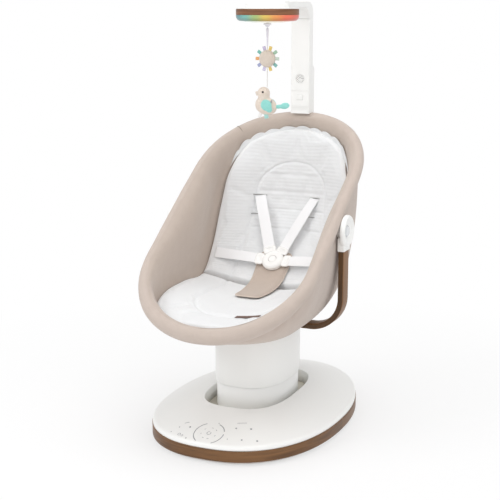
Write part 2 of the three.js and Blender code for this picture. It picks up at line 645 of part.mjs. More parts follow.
function rimRadius(t) {
  const s = middleCurve.getPoint(t).x;
  return RIM_RADIUS_SIDE
    + (RIM_RADIUS_FRONT - RIM_RADIUS_SIDE) * smooth((-s - 60) / (RIM_FRONT - 60))
    + (RIM_RADIUS_TOP - RIM_RADIUS_SIDE) * smooth((s - 150) / (RIM_BACK - 150));
}

const RIM_NORMAL = V3(0, -Math.sin(RIM_TILT), Math.cos(RIM_TILT));

function rimOutward(t) {
  const step = 1e-3;
  const along = rimCentre((t + step) % 1).sub(rimCentre((t - step + 1) % 1));
  return along.cross(RIM_NORMAL).normalize();
}

// Closed sweep round the rim; section gives [radius, angle] pairs, the angle from outwards to upwards.
function rimSweep(section) {
  const rings = Array.from({ length: RIM_STEPS }, (_, j) => {
    const t = j / RIM_STEPS;
    const outward = rimOutward(t);
    return section(t).map(([radius, angle]) => rimCentre(t)
      .addScaledVector(outward, radius * Math.cos(angle))
      .addScaledVector(RIM_NORMAL, radius * Math.sin(angle)));
  });
  return skin(rings, true);
}

const circleSection = (radiusAt, sides) => (t) => Array.from({ length: sides }, (_, k) => [
  radiusAt(t), (2 * Math.PI * k) / sides]);
const rimEnvelope = () => rimSweep(circleSection((t) => (rimRadius(t) + GAP) / Math.cos(Math.PI / 12), 12));

// Padded sleeve with a slit on its underside, round the rim tube.
function sleeveSection(t) {
  const span = 2 * Math.PI - 2 * SLIT_ANGLE;
  const arc = (radius, count) => Array.from({ length: count }, (_, k) => [
    radius, -Math.PI / 2 + SLIT_ANGLE + (span * k) / (count - 1)]);
  const bore = (RIM_TUBE_RADIUS + GAP) / Math.cos(span / 12);
  return [...arc(rimRadius(t), 11), ...arc(bore, 7).reverse()];
}

// Floor outline of the bucket, matched to the rim by the same t.
function floorPoint(t) {
  const angle = 2 * Math.PI * t;
  const half = (FLOOR_FRONT + FLOOR_BACK) / 2;
  return V3(
    FLOOR_HALF_WIDTH * signedPower(Math.sin(angle), 2 / FLOOR_POWER),
    FLOOR_BACK - half - half * signedPower(Math.cos(angle), 2 / FLOOR_POWER),
    BUCKET_BOTTOM);
}

// Outer bucket: upright under the rim and rounding in to the flat floor.
function bucketPoint(t, depth) {
  const start = rimCentre(t).addScaledVector(RIM_NORMAL, -rimRadius(t) - GAP - 0.1);
  const floor = floorPoint(t);
  const reach = Math.max(0, 1 - depth ** BUCKET_POWER) ** (1 / BUCKET_POWER);
  return V3(
    lerp(floor.x, start.x, reach), lerp(floor.y, start.y, reach), lerp(start.z, floor.z, depth));
}

// Bed that carries the pads; lateral runs from 0 at the middle to 1 at the edge.
function bedPoint(t, lateral) {
  const edge = edgeCurve.getPoint(t);
  const middle = middleCurve.getPoint(t);
  const rise = Math.abs(lateral) ** BED_CURVE;
  return V3(edge.x * lateral, lerp(middle.y, edge.y, rise), lerp(middle.z, edge.z, rise));
}

function bedNormal(t, lateral) {
  const step = 4e-3;
  const across = bedPoint(t, lateral + step).sub(bedPoint(t, lateral - step));
  const along = bedPoint(t + step, lateral).sub(bedPoint(t - step, lateral));
  return across.cross(along).normalize();
}

function padCrown(t, lateral) {
  const share = THREE.MathUtils.smoothstep(t, station(4.2), station(5.4));
  const thickness = lerp(SEAT_THICKNESS, BACK_THICKNESS, share);
  return PAD_EDGE + (thickness - PAD_EDGE) * Math.max(0, 1 - Math.abs(lateral) ** 4) ** 0.6;
}

// Height of a pad's underside over the bed: close in the middle, free towards the edges.
const padSeat = (lateral) => PAD_LIFT + PAD_EDGE_LIFT * lateral * lateral;

// Point above the pads: on their surface when lift is 0.
const padTop = (t, lateral, lift = 0) => bedPoint(t, lateral)
  .addScaledVector(bedNormal(t, lateral), padSeat(lateral) + padCrown(t, lateral) + lift);

// The bed as the liner's flat facets hold it, so that what lies on it meets it evenly.
const BED_STEPS = 4;
function facetPoint(t, lateral) {
  const ring = Math.floor(t * RIM_STEPS);
  const row = Math.min(Math.floor(Math.abs(lateral) * BED_STEPS), BED_STEPS - 1);
  const side = Math.sign(lateral);
  const corner = (i, k) => bedPoint(((ring + i) / RIM_STEPS) % 1, (side * (row + k)) / BED_STEPS);
  const across = Math.abs(lateral) * BED_STEPS - row;
  const near = corner(0, 0).lerp(corner(0, 1), across);
  return near.lerp(corner(1, 0).lerp(corner(1, 1), across), t * RIM_STEPS - ring);
}

// Closed slab between two grids of points.
function slab(rows, columns, topAt, bottomAt) {
  const top = [];
  const bottom = [];
  const faces = [];
  const width = columns + 1;
  const total = (rows + 1) * width;
  for (let i = 0; i <= rows; i += 1) {
    for (let k = 0; k <= columns; k += 1) {
      top.push(topAt(i, k));
      bottom.push(bottomAt(i, k));
    }
  }
  const side = (a, b) => faces.push(b, a, a + total, b, a + total, b + total);
  for (let i = 0; i < rows; i += 1) {
    for (let k = 0; k < columns; k += 1) {
      const a = i * width + k;
      faces.push(a, a + 1, a + width + 1, a, a + width + 1, a + width);
      faces.push(a + total, a + total + width + 1, a + total + 1);
      faces.push(a + total, a + total + width, a + total + width + 1);
    }
    side((i + 1) * width, i * width);
    side(i * width + columns, (i + 1) * width + columns);
  }
  for (let k = 0; k < columns; k += 1) {
    side(k, k + 1);
    side(rows * width + k + 1, rows * width + k);
  }
  const geometry = new THREE.BufferGeometry();
  geometry.setAttribute('position',
    new THREE.Float32BufferAttribute([...top, ...bottom].flatMap((p) => [p.x, p.y, p.z]), 3));
  geometry.setIndex(faces);
  return geometry;
}

// Crowned pad on the bed from t0 to t1, with a sewn channel on every third row.
function padSolid(t0, t1, rows, columns) {
  const place = (i, k, lift) => {
    const t = lerp(t0, t1, i / rows);
    const lateral = PAD_REACH * Math.sin((Math.PI / 2) * ((2 * k) / columns - 1));
    return facetPoint(t, lateral).addScaledVector(bedNormal(t, lateral), lift(t, lateral, i, k));
  };
  const fade = (i) => 0.35 + 0.65 * smooth(Math.min(i, rows - i) / 2);
  const height = (t, lateral, i, k) => {
    const sewn = i % 3 === 0 && k > 0 && k < columns ? QUILT_DEPTH : 0;
    return padSeat(lateral) + padCrown(t, lateral) * fade(i) - sewn;
  };
  return slab(rows, columns, (i, k) => place(i, k, height),
    (i, k) => place(i, k, (t, lateral) => padSeat(lateral)));
}

// Flat band through points with a facing normal at each.
function ribbon(points, normals, widths, thickness) {
  const frame = points.map((point, i) => {
    const along = points[Math.min(i + 1, points.length - 1)].clone()
      .sub(points[Math.max(i - 1, 0)]).normalize();
    const across = along.clone().cross(normals[i]).normalize();
    const facing = across.clone().cross(along).normalize();
    return { point, across, facing, half: widths[i] / 2 };
  });
  const at = (i, k, lift) => frame[i].point.clone()
    .addScaledVector(frame[i].across, (2 * k - 1) * frame[i].half)
    .addScaledVector(frame[i].facing, lift);
  return slab(points.length - 1, 1, (i, k) => at(i, k, thickness / 2), (i, k) => at(i, k, -thickness / 2));
}

const between = (a, b, share) => a.clone().lerp(b, share);

function buildSeat() {
  const tube = rimSweep(circleSection(() => RIM_TUBE_RADIUS, 8));
  part('rim_tube', tube, STEEL);
  const top = rimCentre(0.5);
  const pegHole = pole(PEG_RADIUS + GAP, top.z, top.z + 2 * RIM_RADIUS_TOP, top.x, top.y, 16);
  part('rim_sleeve', cut(rimSweep(sleeveSection), pegHole), FABRIC_BEIGE);
  const ts = Array.from({ length: RIM_STEPS }, (_, j) => j / RIM_STEPS);
  const floorRing = (share) => ts.map((t) => floorPoint(t).multiply(V3(share, 1, 1)));
  const bucketRings = [1, 0.93, 0.78, 0.55, 0.3, 0].map(
    (depth) => ts.map((t) => bucketPoint(t, depth)));
  const bucket = thicken(skin([floorRing(0), floorRing(0.5), ...bucketRings]), FABRIC);
  const pinHoles = poleX(PIN_RADIUS + 0.8, -HUB_FACE_X, HUB_FACE_X, 0, PIVOT_Z, 20);
  part('outer_cover', cut(bucket, pinHoles), FABRIC_BEIGE);
  const wallTop = (t) => rimCentre(t).addScaledVector(rimOutward(t), -rimRadius(t) - FABRIC - LINER_MARGIN);
  const wallRings = [0, 0.5].map(
    (share) => ts.map((t) => between(wallTop(t), bedPoint(t, 1), share)));
  const bedRings = Array.from({ length: BED_STEPS + 1 }, (_, k) => ts.map(
    (t) => bedPoint(t, 1 - k / BED_STEPS)));
  part('inner_liner', thicken(skin([...wallRings, ...bedRings]), FABRIC), FABRIC_BEIGE);
  const panOutline = ovalOutline(FLOOR_HALF_WIDTH - PAN_INSET, (FLOOR_FRONT + FLOOR_BACK) / 2 - PAN_INSET,
    FLOOR_POWER, COLUMN_SIDES, (FLOOR_BACK - FLOOR_FRONT) / 2);
  const panBottom = BUCKET_BOTTOM + FABRIC + GAP;
  part('seat_pan', prism(panOutline, panBottom, panBottom + PAN_HEIGHT), NYLON);
  const fold = station(5);
  const split = 6e-4;
  part('back_pad', padSolid(fold + split, 0.492, 21, 10), PAD_WHITE);
  part('seat_pad', padSolid(0.037, fold - split, 18, 10), PAD_WHITE);
  const plateX = HUB_BARREL_X - 4.3;
  const plate = join(
    poleX(2 * PIN_RADIUS, plateX - 6.5, plateX, 0, PIVOT_Z, 24),
    box(plateX - 6.5, plateX, -2, 16, PIVOT_Z, PIVOT_Z + 36),
    poleX(PIN_RADIUS, plateX - 6.5, HUB_FACE_X - 14.5, 0, PIVOT_Z, 20));
  const fitted = cut(plate, rimEnvelope());
  part('pivot_plate_left', fitted.clone().scale(-1, 1, 1), STEEL);
  part('pivot_plate_right', fitted, STEEL);
}

// Harness on the pads: the buckle stands on the crotch pad at the foot of the back.
const HARNESS_X = 6;
const CROTCH_STATIONS = [4.06, 4.5, 4.95, 5.33, 5.87];
const SLOT_T = station(7.24);
const SLOT_LATERAL = 0.48;
const SLOT_LIFT = 4.7;
const SHOULDER_TUCK = 3;
const WAIST_T = station(5.75);
const WAIST_LATERAL = 0.93;

function buildHarness() {
  const spine = CROTCH_STATIONS.map((number) => padTop(station(number), 0, CROTCH_LIFT)
    .add(V3(HARNESS_X, 0, 0)));
  const [neck, head] = spine.slice(-2);
  const lean = head.clone().sub(neck).cross(V3(-1, 0, 0)).normalize();
  const facings = CROTCH_STATIONS.map((number, i) => (
    i < CROTCH_STATIONS.length - 2 ? bedNormal(station(number), 0) : lean));
  const widths = CROTCH_STATIONS.map((number, i) => (
    lerp(CROTCH_BOTTOM_WIDTH, CROTCH_TOP_WIDTH, (i / CROTCH_STATIONS.length) ** 0.8)));
  part('crotch_pad', ribbon(spine, facings, widths, CROTCH_THICKNESS), FABRIC_BEIGE);
  const seat = between(neck, head, 0.5)
    .addScaledVector(lean, CROTCH_THICKNESS / 2 + BUCKLE_HEIGHT / 2 + GAP);
  const half = BUCKLE_HEIGHT / 2;
  const well = BUCKLE_BUTTON_RADIUS + 0.4;
  const frame = new THREE.Matrix4().makeBasis(V3(1, 0, 0), lean.clone().cross(V3(1, 0, 0)), lean);
  const seated = (geometry) => geometry.applyMatrix4(frame).translate(seat.x, seat.y, seat.z);
  part('buckle_body', seated(turned([
    [0, -half], [BUCKLE_RADIUS, -half], [BUCKLE_RADIUS, half - 4], [BUCKLE_RADIUS - 5, half],
    [well, half], [well, -half + 3], [0, -half + 3]], 24)), WHITE);
  part('buckle_button', seated(turned([
    [0, -half + 5.8], [BUCKLE_BUTTON_RADIUS, -half + 5.8], [BUCKLE_BUTTON_RADIUS, half - 0.8],
    [BUCKLE_BUTTON_RADIUS - 1.5, half], [0, half + 0.4]], 20)), WHITE);
  const buckleUp = lean.clone().cross(V3(1, 0, 0));
  [['left', -1], ['right', 1]].forEach(([side, sign]) => {
    const slotEnd = padTop(SLOT_T, sign * SLOT_LATERAL, SLOT_LIFT);
    const slotFacing = bedNormal(SLOT_T, sign * SLOT_LATERAL);
    const shoulderEnd = seat.clone().addScaledVector(buckleUp, BUCKLE_RADIUS + GAP - SHOULDER_TUCK)
      .add(V3(sign * 14, 0, 0));
    const shoulder = [slotEnd, between(slotEnd, shoulderEnd, 0.5).addScaledVector(lean, 2), shoulderEnd];
    part(`shoulder_strap_${side}`, ribbon(shoulder, [slotFacing, between(slotFacing, lean, 0.5), lean],
      shoulder.map(() => WEBBING_WIDTH), WEBBING_THICKNESS), WEBBING);
    const waistEnd = padTop(WAIST_T, sign * WAIST_LATERAL, WAIST_LIFT);
    const clip = seat.clone().add(V3(sign * (BUCKLE_RADIUS + GAP), 0, 0));
    const waist = [waistEnd, between(waistEnd, clip, 0.5).addScaledVector(lean, 2), clip];
    const waistFacing = bedNormal(WAIST_T, sign * WAIST_LATERAL);
    part(`waist_strap_${side}`, ribbon(waist, [waistFacing, between(waistFacing, lean, 0.5), lean],
      waist.map(() => WEBBING_WIDTH), WEBBING_THICKNESS), WEBBING);
  });
}

// Toy arm on the back of the rim
function postProfile() {
  const inner = POST_FRONT_Y + FACE_THICKNESS + GAP;
  const deck = DISC_TOP_Z + GAP;
  const faceTop = FACE_TOP_Z + GAP;
  const innerBend = deck - faceTop;
  const rear = POST_FRONT_Y + POST_DEPTH;
  const lowerRear = POST_FRONT_Y + POST_LOWER_DEPTH;
  const bossEdge = DISC_Y + BOSS_RADIUS - 6;
  const shape = new THREE.Shape();
  shape.moveTo(inner, POST_FOOT_Z);
  shape.lineTo(inner, faceTop);
  shape.absarc(POST_FRONT_Y - innerBend, faceTop, innerBend, 0, Math.PI / 2, false);
  shape.lineTo(bossEdge, deck);
  shape.lineTo(bossEdge, DISC_TOP_Z + BOSS_HEIGHT + 1);
  shape.absarc(rear - POST_BEND, POST_TOP_Z - POST_BEND, POST_BEND, Math.PI / 2, 0, true);
  shape.lineTo(rear, POST_STEP_Z + 8);
  shape.lineTo(lowerRear, POST_STEP_Z - 2);
  shape.lineTo(lowerRear, POST_FOOT_Z);
  return shape;
}

function buildPost() {
  const bevel = 3;
  const turn = new THREE.Matrix4().makeBasis(V3(0, 1, 0), V3(0, 0, 1), V3(1, 0, 0));
  const spine = new THREE.ExtrudeGeometry(postProfile(), {
    depth: POST_WIDTH - 2 * bevel, curveSegments: 8,
    bevelEnabled: true, bevelSize: bevel, bevelThickness: bevel, bevelOffset: -bevel, bevelSegments: 1,
  }).applyMatrix4(turn).translate(-POST_WIDTH / 2 + bevel, 0, 0);
  const top = rimCentre(0.5);
  const peg = pole(PEG_RADIUS, top.z + RIM_TUBE_RADIUS + GAP, POST_FOOT_Z + 8, top.x, top.y, 16);
  const boss = pole(BOSS_RADIUS + GAP, DISC_TOP_Z, POST_TOP_Z + 5, 0, DISC_Y, DISC_SIDES);
  part('arm_rear_housing', join(cut(spine, boss, rimEnvelope()), peg), WHITE);
  const half = POST_WIDTH / 2;
  const faceHeight = FACE_TOP_Z - POST_FOOT_Z;
  const panel = box(-half, half, POST_FRONT_Y, POST_FRONT_Y + FACE_THICKNESS, POST_FOOT_Z,
    POST_FOOT_Z + faceHeight);
  const groove = (z, height, depth) => box(-half - 1, half + 1, POST_FRONT_Y - 1, POST_FRONT_Y + depth, z,
    z + height);
  const grilleHole = poleY(GRILLE_RADIUS + GAP, POST_FRONT_Y - 2, POST_FRONT_Y + FACE_THICKNESS + 1, 0,
    GRILLE_Z, 24);
  const buttonHole = box(-RELEASE_WIDTH / 2 - GAP, RELEASE_WIDTH / 2 + GAP, POST_FRONT_Y - 1,
    POST_FRONT_Y + FACE_THICKNESS + 1, RELEASE_Z - RELEASE_HEIGHT / 2 - GAP,
    RELEASE_Z + RELEASE_HEIGHT / 2 + GAP);
  const ribs = [0, 1, 2].map((i) => groove(RIB_Z + RIB_STEP * i, 1, 0.8));
  part('arm_front_shell', cut(panel, grilleHole, buttonHole, groove(SEAM_Z, 0.8, 1), ...ribs,
    rimEnvelope()), WHITE);
  part('speaker_grille', grilleDisc(), WHITE);
  part('arm_release_button', box(-RELEASE_WIDTH / 2, RELEASE_WIDTH / 2, POST_FRONT_Y - RELEASE_PROUD,
    POST_FRONT_Y + FACE_THICKNESS - 3, RELEASE_Z - RELEASE_HEIGHT / 2,
    RELEASE_Z + RELEASE_HEIGHT / 2), WHITE);
}

// Round grille with a middle hole and two rings of holes.
function grilleDisc() {
  const shape = new THREE.Shape(ovalOutline(GRILLE_RADIUS, GRILLE_RADIUS, 2, 20));
  [[0, 1], [3.4, 6], [6.8, 10]].forEach(([radius, count]) => {
    for (let i = 0; i < count; i += 1) {
      const angle = (2 * Math.PI * i) / count;
      const rim = ovalOutline(GRILLE_HOLE, GRILLE_HOLE, 2, 6);
      shape.holes.push(new THREE.Path(rim.map((p) => V2(
        p.x + radius * Math.cos(angle), p.y + radius * Math.sin(angle)))));
    }
  });
  return new THREE.ExtrudeGeometry(shape, { depth: FACE_THICKNESS - 1, bevelEnabled: false })
    .rotateX(Math.PI / 2).translate(0, POST_FRONT_Y + FACE_THICKNESS, GRILLE_Z);
}

function buildHead() {
  const place = (profile, sides) => turned(profile, sides).translate(0, DISC_Y, 0);
  const bossTop = DISC_TOP_Z + BOSS_HEIGHT;
  part('head_top_cover', place([
    [0, DISC_WOOD_Z], [DISC_RADIUS, DISC_WOOD_Z], [DISC_RADIUS, DISC_TOP_Z - 0.7],
    [DISC_RADIUS - 0.7, DISC_TOP_Z], [BOSS_RADIUS, DISC_TOP_Z], [BOSS_RADIUS - 0.5, bossTop - 3],
    [BOSS_RADIUS - 4, bossTop], [0, bossTop]], DISC_SIDES), WHITE);
  part('head_wood_band', place([
    [DISC_RADIUS, DISC_LIGHT_Z + GAP], [DISC_RADIUS, DISC_WOOD_Z - GAP],
    [DISC_RADIUS - DISC_WALL, DISC_WOOD_Z - GAP], [DISC_RADIUS - DISC_WALL, DISC_LIGHT_Z + GAP],
    [DISC_RADIUS, DISC_LIGHT_Z + GAP]], DISC_SIDES), WOOD);
  const lens = CAP_RADIUS + GAP;
  part('light_ring', place([
    [DISC_RADIUS, DISC_LIGHT_Z], [DISC_RADIUS - 0.8, DISC_LIGHT_Z - 6], [DISC_RADIUS - 4.5, DISC_CAP_Z + 2.5],
    [DISC_RADIUS - 11, DISC_CAP_Z], [lens, DISC_CAP_Z], [lens, DISC_CAP_Z + 3],
    [DISC_RADIUS - 9, DISC_CAP_Z + 6],
    [DISC_RADIUS - DISC_WALL, DISC_CAP_Z + 10], [DISC_RADIUS - DISC_WALL, DISC_LIGHT_Z],
    [DISC_RADIUS, DISC_LIGHT_Z]], DISC_SIDES), GLOW);
  const bore = KNOB_SPINDLE + 0.4;
  part('head_bottom_cap', place([
    [bore, DISC_BOTTOM_Z], [30, DISC_BOTTOM_Z + 0.5], [CAP_RADIUS, DISC_CAP_Z], [CAP_RADIUS, DISC_CAP_Z + 3],
    [bore, DISC_CAP_Z + 3], [bore, DISC_BOTTOM_Z]], DISC_SIDES), WHITE);
}

const sideTube = (radius, z0, z1) => {
  const circle = new THREE.Shape();
  circle.absarc(0, 0, radius, 0, 2 * Math.PI, false);
  const path = new THREE.LineCurve3(V3(0, DISC_Y, z0), V3(0, DISC_Y, z1));
  const steps = Math.max(2, Math.round(Math.abs(z1 - z0) / (5 * radius)));
  return new THREE.ExtrudeGeometry(circle, { steps, curveSegments: 4, extrudePath: path });
};

function buildToys() {
  const knobTop = DISC_BOTTOM_Z - GAP;
  const knobBottom = DISC_BOTTOM_Z - KNOB_HEIGHT;
  part('hanger_knob', turned([
    [0, knobBottom], [KNOB_RADIUS - 3, knobBottom], [KNOB_RADIUS, knobBottom + 2.5],
    [KNOB_RADIUS, knobTop - 1.5], [KNOB_RADIUS - 2, knobTop], [KNOB_SPINDLE, knobTop],
    [KNOB_SPINDLE, knobTop + 9], [0, knobTop + 9]], 20).translate(0, DISC_Y, 0), WEBBING);
  part('upper_string', sideTube(STRING_RADIUS, SUN_Z + SUN_RADIUS + GAP, knobBottom - 2 * GAP), WEBBING);
  const swell = Array.from({ length: 9 }, (_, i) => {
    const angle = -Math.PI / 2 + (Math.PI * i) / 8;
    return [SUN_RADIUS * Math.cos(angle) ** 0.8, (SUN_THICKNESS / 2) * Math.sin(angle)];
  });
  swell[0][0] = 0;
  swell[8][0] = 0;
  const disc = turned(swell, 20).rotateX(Math.PI / 2);
  const tabs = Array.from({ length: SUN_TABS }, (_, i) => box(
    SUN_RADIUS - 4, SUN_RADIUS + SUN_TAB_LENGTH, -1.2, 1.2, -SUN_TAB_WIDTH / 2, SUN_TAB_WIDTH / 2)
    .rotateY((2 * Math.PI * i) / SUN_TABS));
  part('sun', join(disc, ...tabs).translate(0, DISC_Y, SUN_Z), CREAM);
  part('lower_string', sideTube(STRING_RADIUS, BIRD_TOP_Z + GAP, SUN_Z - SUN_RADIUS - GAP), WEBBING);
  buildBird();
}

// Plush bird that looks to the left: a body that tapers to its tail, a round head and a flat tail.
function buildBird() {
  const half = BIRD_LENGTH / 2;
  const bodyZ = BIRD_TOP_Z - 42;
  const bodyAt = (grow) => turned(Array.from({ length: 9 }, (_, i) => {
    const share = i / 8;
    const radius = (20 + grow) * Math.sin(Math.PI * share) ** 0.7 * (1 - 0.25 * share);
    return [i === 0 || i === 8 ? 0 : radius, lerp(-half - grow, half + grow, share)];
  }), 18).rotateY(Math.PI / 2).scale(1, 0.72, 1).translate(0, DISC_Y, bodyZ);
  const wing = (side) => new THREE.SphereGeometry(1, 10, 6).scale(13, 3.5, 9)
    .rotateY(-0.5).translate(1, DISC_Y + side * 12.4, bodyZ - 1);
  part('bird_body', join(bodyAt(0), wing(-1), wing(1)), CREAM);
  const skull = new THREE.SphereGeometry(14, 14, 9).rotateX(Math.PI / 2).scale(1, 0.9, 1)
    .translate(-4, DISC_Y, BIRD_TOP_Z - 13.4);
  const beak = new THREE.ConeGeometry(4, 9, 10).rotateZ(Math.PI / 2)
    .translate(-20.5, DISC_Y, BIRD_TOP_Z - 12);
  part('bird_head', cut(join(skull, beak), bodyAt(GAP)), CREAM);
  const tail = new THREE.SphereGeometry(1, 10, 7).scale(16, 3, 8).translate(half + 12, DISC_Y, bodyZ + 1);
  part('bird_tail', cut(tail, bodyAt(GAP)), MINT);
}

buildBase();
buildDrive();
buildColumn();
buildFork();
buildSeat();
buildHarness();
buildPost();
buildHead();
buildToys();

// The origin lies on the floor under the middle of the whole, between the rim's front and the base's rear.
const rimReach = RIM_RADIUS_FRONT - rimCentre(0).y;
model.position.y = -(BASE_REAR - rimReach) / 2;

export default model;
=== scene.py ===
import json
import math

import bmesh
import bpy
import numpy as np
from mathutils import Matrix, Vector, kdtree, noise

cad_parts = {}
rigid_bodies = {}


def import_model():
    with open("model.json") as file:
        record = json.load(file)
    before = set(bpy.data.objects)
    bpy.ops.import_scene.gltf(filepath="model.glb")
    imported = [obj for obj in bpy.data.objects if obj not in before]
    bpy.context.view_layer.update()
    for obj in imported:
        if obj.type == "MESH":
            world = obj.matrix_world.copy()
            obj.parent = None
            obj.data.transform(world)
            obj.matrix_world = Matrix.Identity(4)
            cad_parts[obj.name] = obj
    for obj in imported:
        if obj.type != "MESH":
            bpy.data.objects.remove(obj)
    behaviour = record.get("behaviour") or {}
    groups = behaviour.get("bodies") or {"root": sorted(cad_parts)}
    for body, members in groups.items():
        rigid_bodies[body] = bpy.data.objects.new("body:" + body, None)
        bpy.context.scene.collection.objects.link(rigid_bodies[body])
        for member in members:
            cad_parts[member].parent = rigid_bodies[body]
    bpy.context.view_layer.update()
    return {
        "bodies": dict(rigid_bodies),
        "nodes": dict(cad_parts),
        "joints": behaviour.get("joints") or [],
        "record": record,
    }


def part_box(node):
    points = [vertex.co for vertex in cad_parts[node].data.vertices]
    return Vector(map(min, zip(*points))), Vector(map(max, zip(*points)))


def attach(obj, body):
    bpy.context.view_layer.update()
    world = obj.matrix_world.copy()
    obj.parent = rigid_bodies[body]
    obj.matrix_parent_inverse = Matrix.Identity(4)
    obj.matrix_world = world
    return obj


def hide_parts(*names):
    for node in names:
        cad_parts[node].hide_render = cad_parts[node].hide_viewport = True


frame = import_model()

# Shapes are worked out in millimetres about the column's axis; PLACE_Y moves them to the frame.
MM = 0.001
PLACE_Y = (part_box("column_sleeve")[0].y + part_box("column_sleeve")[1].y) / 2 / MM
SCENE = bpy.context.scene
TAU = 2 * math.pi


def at(x, y, z):
    """A point in millimetres about the column's axis, as metres in the frame."""
    return Vector((x * MM, (y + PLACE_Y) * MM, z * MM))


# ---------------------------------------------------------------- camera
camera = bpy.data.objects.new("camera", bpy.data.cameras.new("camera"))
SCENE.collection.objects.link(camera)
CAMERA_AZIMUTH = math.radians(24)
CAMERA_PITCH = math.radians(12.22)
camera.location = at(991.3, -2273.3, 933)
camera.data.sensor_width = 36
camera.data.lens = 1133 * 36 / 500
camera.rotation_euler = (math.pi / 2 - CAMERA_PITCH, 0, CAMERA_AZIMUTH)
SCENE.camera = camera


# ---------------------------------------------------------------- mesh helpers
def piece(name, verts, faces, body, material, uvs=None, smooth=True, replaces=()):
    """A mesh piece from points in millimetres. uvs holds one pair for each point, in metres."""
    mesh = bpy.data.meshes.new(name)
    spots = np.asarray(verts, float).copy()
    spots[:, 1] += PLACE_Y
    mesh.from_pydata((spots * MM).tolist(), [], [tuple(int(i) for i in f) for f in faces])
    mesh.validate()
    if uvs is not None:
        layer = mesh.uv_layers.new(name="UVMap")
        index = np.empty(len(mesh.loops), int)
        mesh.loops.foreach_get("vertex_index", index)
        layer.data.foreach_set("uv", np.asarray(uvs, float)[index].ravel())
    mesh.polygons.foreach_set("use_smooth", [smooth] * len(mesh.polygons))
    obj = bpy.data.objects.new(name, mesh)
    SCENE.collection.objects.link(obj)
    faces_out(obj)
    mesh.materials.append(material)
    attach(obj, body)
    if replaces:
        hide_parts(*replaces)
    return obj


def faces_out(obj):
    """Turns every face outwards."""
    bm = bmesh.new()
    bm.from_mesh(obj.data)
    bmesh.ops.remove_doubles(bm, verts=bm.verts, dist=2e-6)
    bmesh.ops.recalc_face_normals(bm, faces=bm.faces)
    bm.to_mesh(obj.data)
    bm.free()


def grid_faces(rows, columns, wrap_rows=False, wrap_columns=False, start=0):
    """Quads over a grid of rows x columns points."""
    faces = []
    for i in range(rows if wrap_rows else rows - 1):
        for k in range(columns if wrap_columns else columns - 1):
            a, b = start + i * columns + k, start + i * columns + (k + 1) % columns
            below = ((i + 1) % rows) * columns
            faces.append((a, b, start + below + (k + 1) % columns, start + below + k))
    return faces


def loft(rings, closed=False, caps=False):
    """Points and faces of a skin through closed rings of equal count."""
    rings = np.asarray(rings, float)
    rows, columns = rings.shape[:2]
    faces = grid_faces(rows, columns, closed, True)
    if caps:
        faces.append(tuple(range(columns))[::-1])
        faces.append(tuple((rows - 1) * columns + k for k in range(columns)))
    return rings.reshape(-1, 3), faces


def turned(profile, sides=96):
    """Points and faces of a profile of (radius, height) turned about Z."""
    angles = np.arange(sides) * TAU / sides
    rings = [np.stack([r * np.cos(angles), r * np.sin(angles), np.full(sides, float(z))], 1) for r, z in profile]
    return loft(rings)


def rounded(profile, radius, steps=4):
    """Rounds each inner corner of an open profile of (radius, height) points."""
    points = [np.array(p, float) for p in profile]
    out = [points[0]]
    for before, corner, after in zip(points, points[1:], points[2:]):
        a, b = before - corner, after - corner
        cut = min(radius, 0.45 * np.linalg.norm(a), 0.45 * np.linalg.norm(b))
        start, end = corner + a / np.linalg.norm(a) * cut, corner + b / np.linalg.norm(b) * cut
        for i in range(steps + 1):
            s = i / steps
            out.append((1 - s) ** 2 * start + 2 * s * (1 - s) * corner + s * s * end)
    out.append(points[-1])
    return [tuple(p) for p in out]


def superellipse(half_x, half_y, power, sides, middle_y=0.0):
    angle = np.arange(sides) * TAU / sides
    c, s = np.cos(angle), np.sin(angle)
    return np.stack([
        half_x * np.sign(c) * np.abs(c) ** (2 / power),
        middle_y + half_y * np.sign(s) * np.abs(s) ** (2 / power)], 1)


def even(outline, count):
    """Spreads a closed outline's points evenly along it."""
    closed = np.vstack([outline, outline[:1]])
    length = np.concatenate([[0], np.cumsum(np.linalg.norm(np.diff(closed, axis=0), axis=1))])
    wanted = np.arange(count) * length[-1] / count
    return np.stack([np.interp(wanted, length, closed[:, i]) for i in range(closed.shape[1])], 1)


def at_height(outline, z):
    return np.column_stack([outline, np.full(len(outline), float(z))])


def smooth_step(x):
    x = np.clip(x, 0, 1)
    return x * x * (3 - 2 * x)


def bevel(obj, width, segments=3, angle=30):
    """Rounds the sharp edges of a piece."""
    mod = obj.modifiers.new("edges", "BEVEL")
    mod.width, mod.segments, mod.limit_method = width * MM, segments, "ANGLE"
    mod.angle_limit, mod.harden_normals = math.radians(angle), True
    return obj


def subdivide(obj, levels=1):
    mod = obj.modifiers.new("round", "SUBSURF")
    mod.levels = mod.render_levels = levels
    return obj


def apply_modifiers(obj):
    graph = bpy.context.evaluated_depsgraph_get()
    mesh = bpy.data.meshes.new_from_object(obj.evaluated_get(graph))
    obj.modifiers.clear()
    obj.data = mesh
    return obj


def ripple(point, scale, seed=0.0):
    """Soft noise in -1 to 1 at a point in millimetres."""
    return noise.noise(Vector((point[0] / scale + seed, point[1] / scale - seed, point[2] / scale + 2 * seed)))


# ---------------------------------------------------------------- shared shader groups
def srgb(r, g, b):
    """A colour given in 0-255 steps, as linear values."""
    return tuple(((v / 255 + 0.055) / 1.055) ** 2.4 if v > 10 else v / 255 / 12.92 for v in (r, g, b)) + (1.0,)


def new_group(name, inputs, outputs):
    group = bpy.data.node_groups.new(name, "ShaderNodeTree")
    for label, kind, default in inputs:
        socket = group.interface.new_socket(name=label, in_out="INPUT", socket_type=kind)
        if default is not None:
            socket.default_value = default
    for label, kind in outputs:
        group.interface.new_socket(name=label, in_out="OUTPUT", socket_type=kind)
    return group, group.nodes.new("NodeGroupInput"), group.nodes.new("NodeGroupOutput")


def link(tree, out, into):
    tree.links.new(out, into)


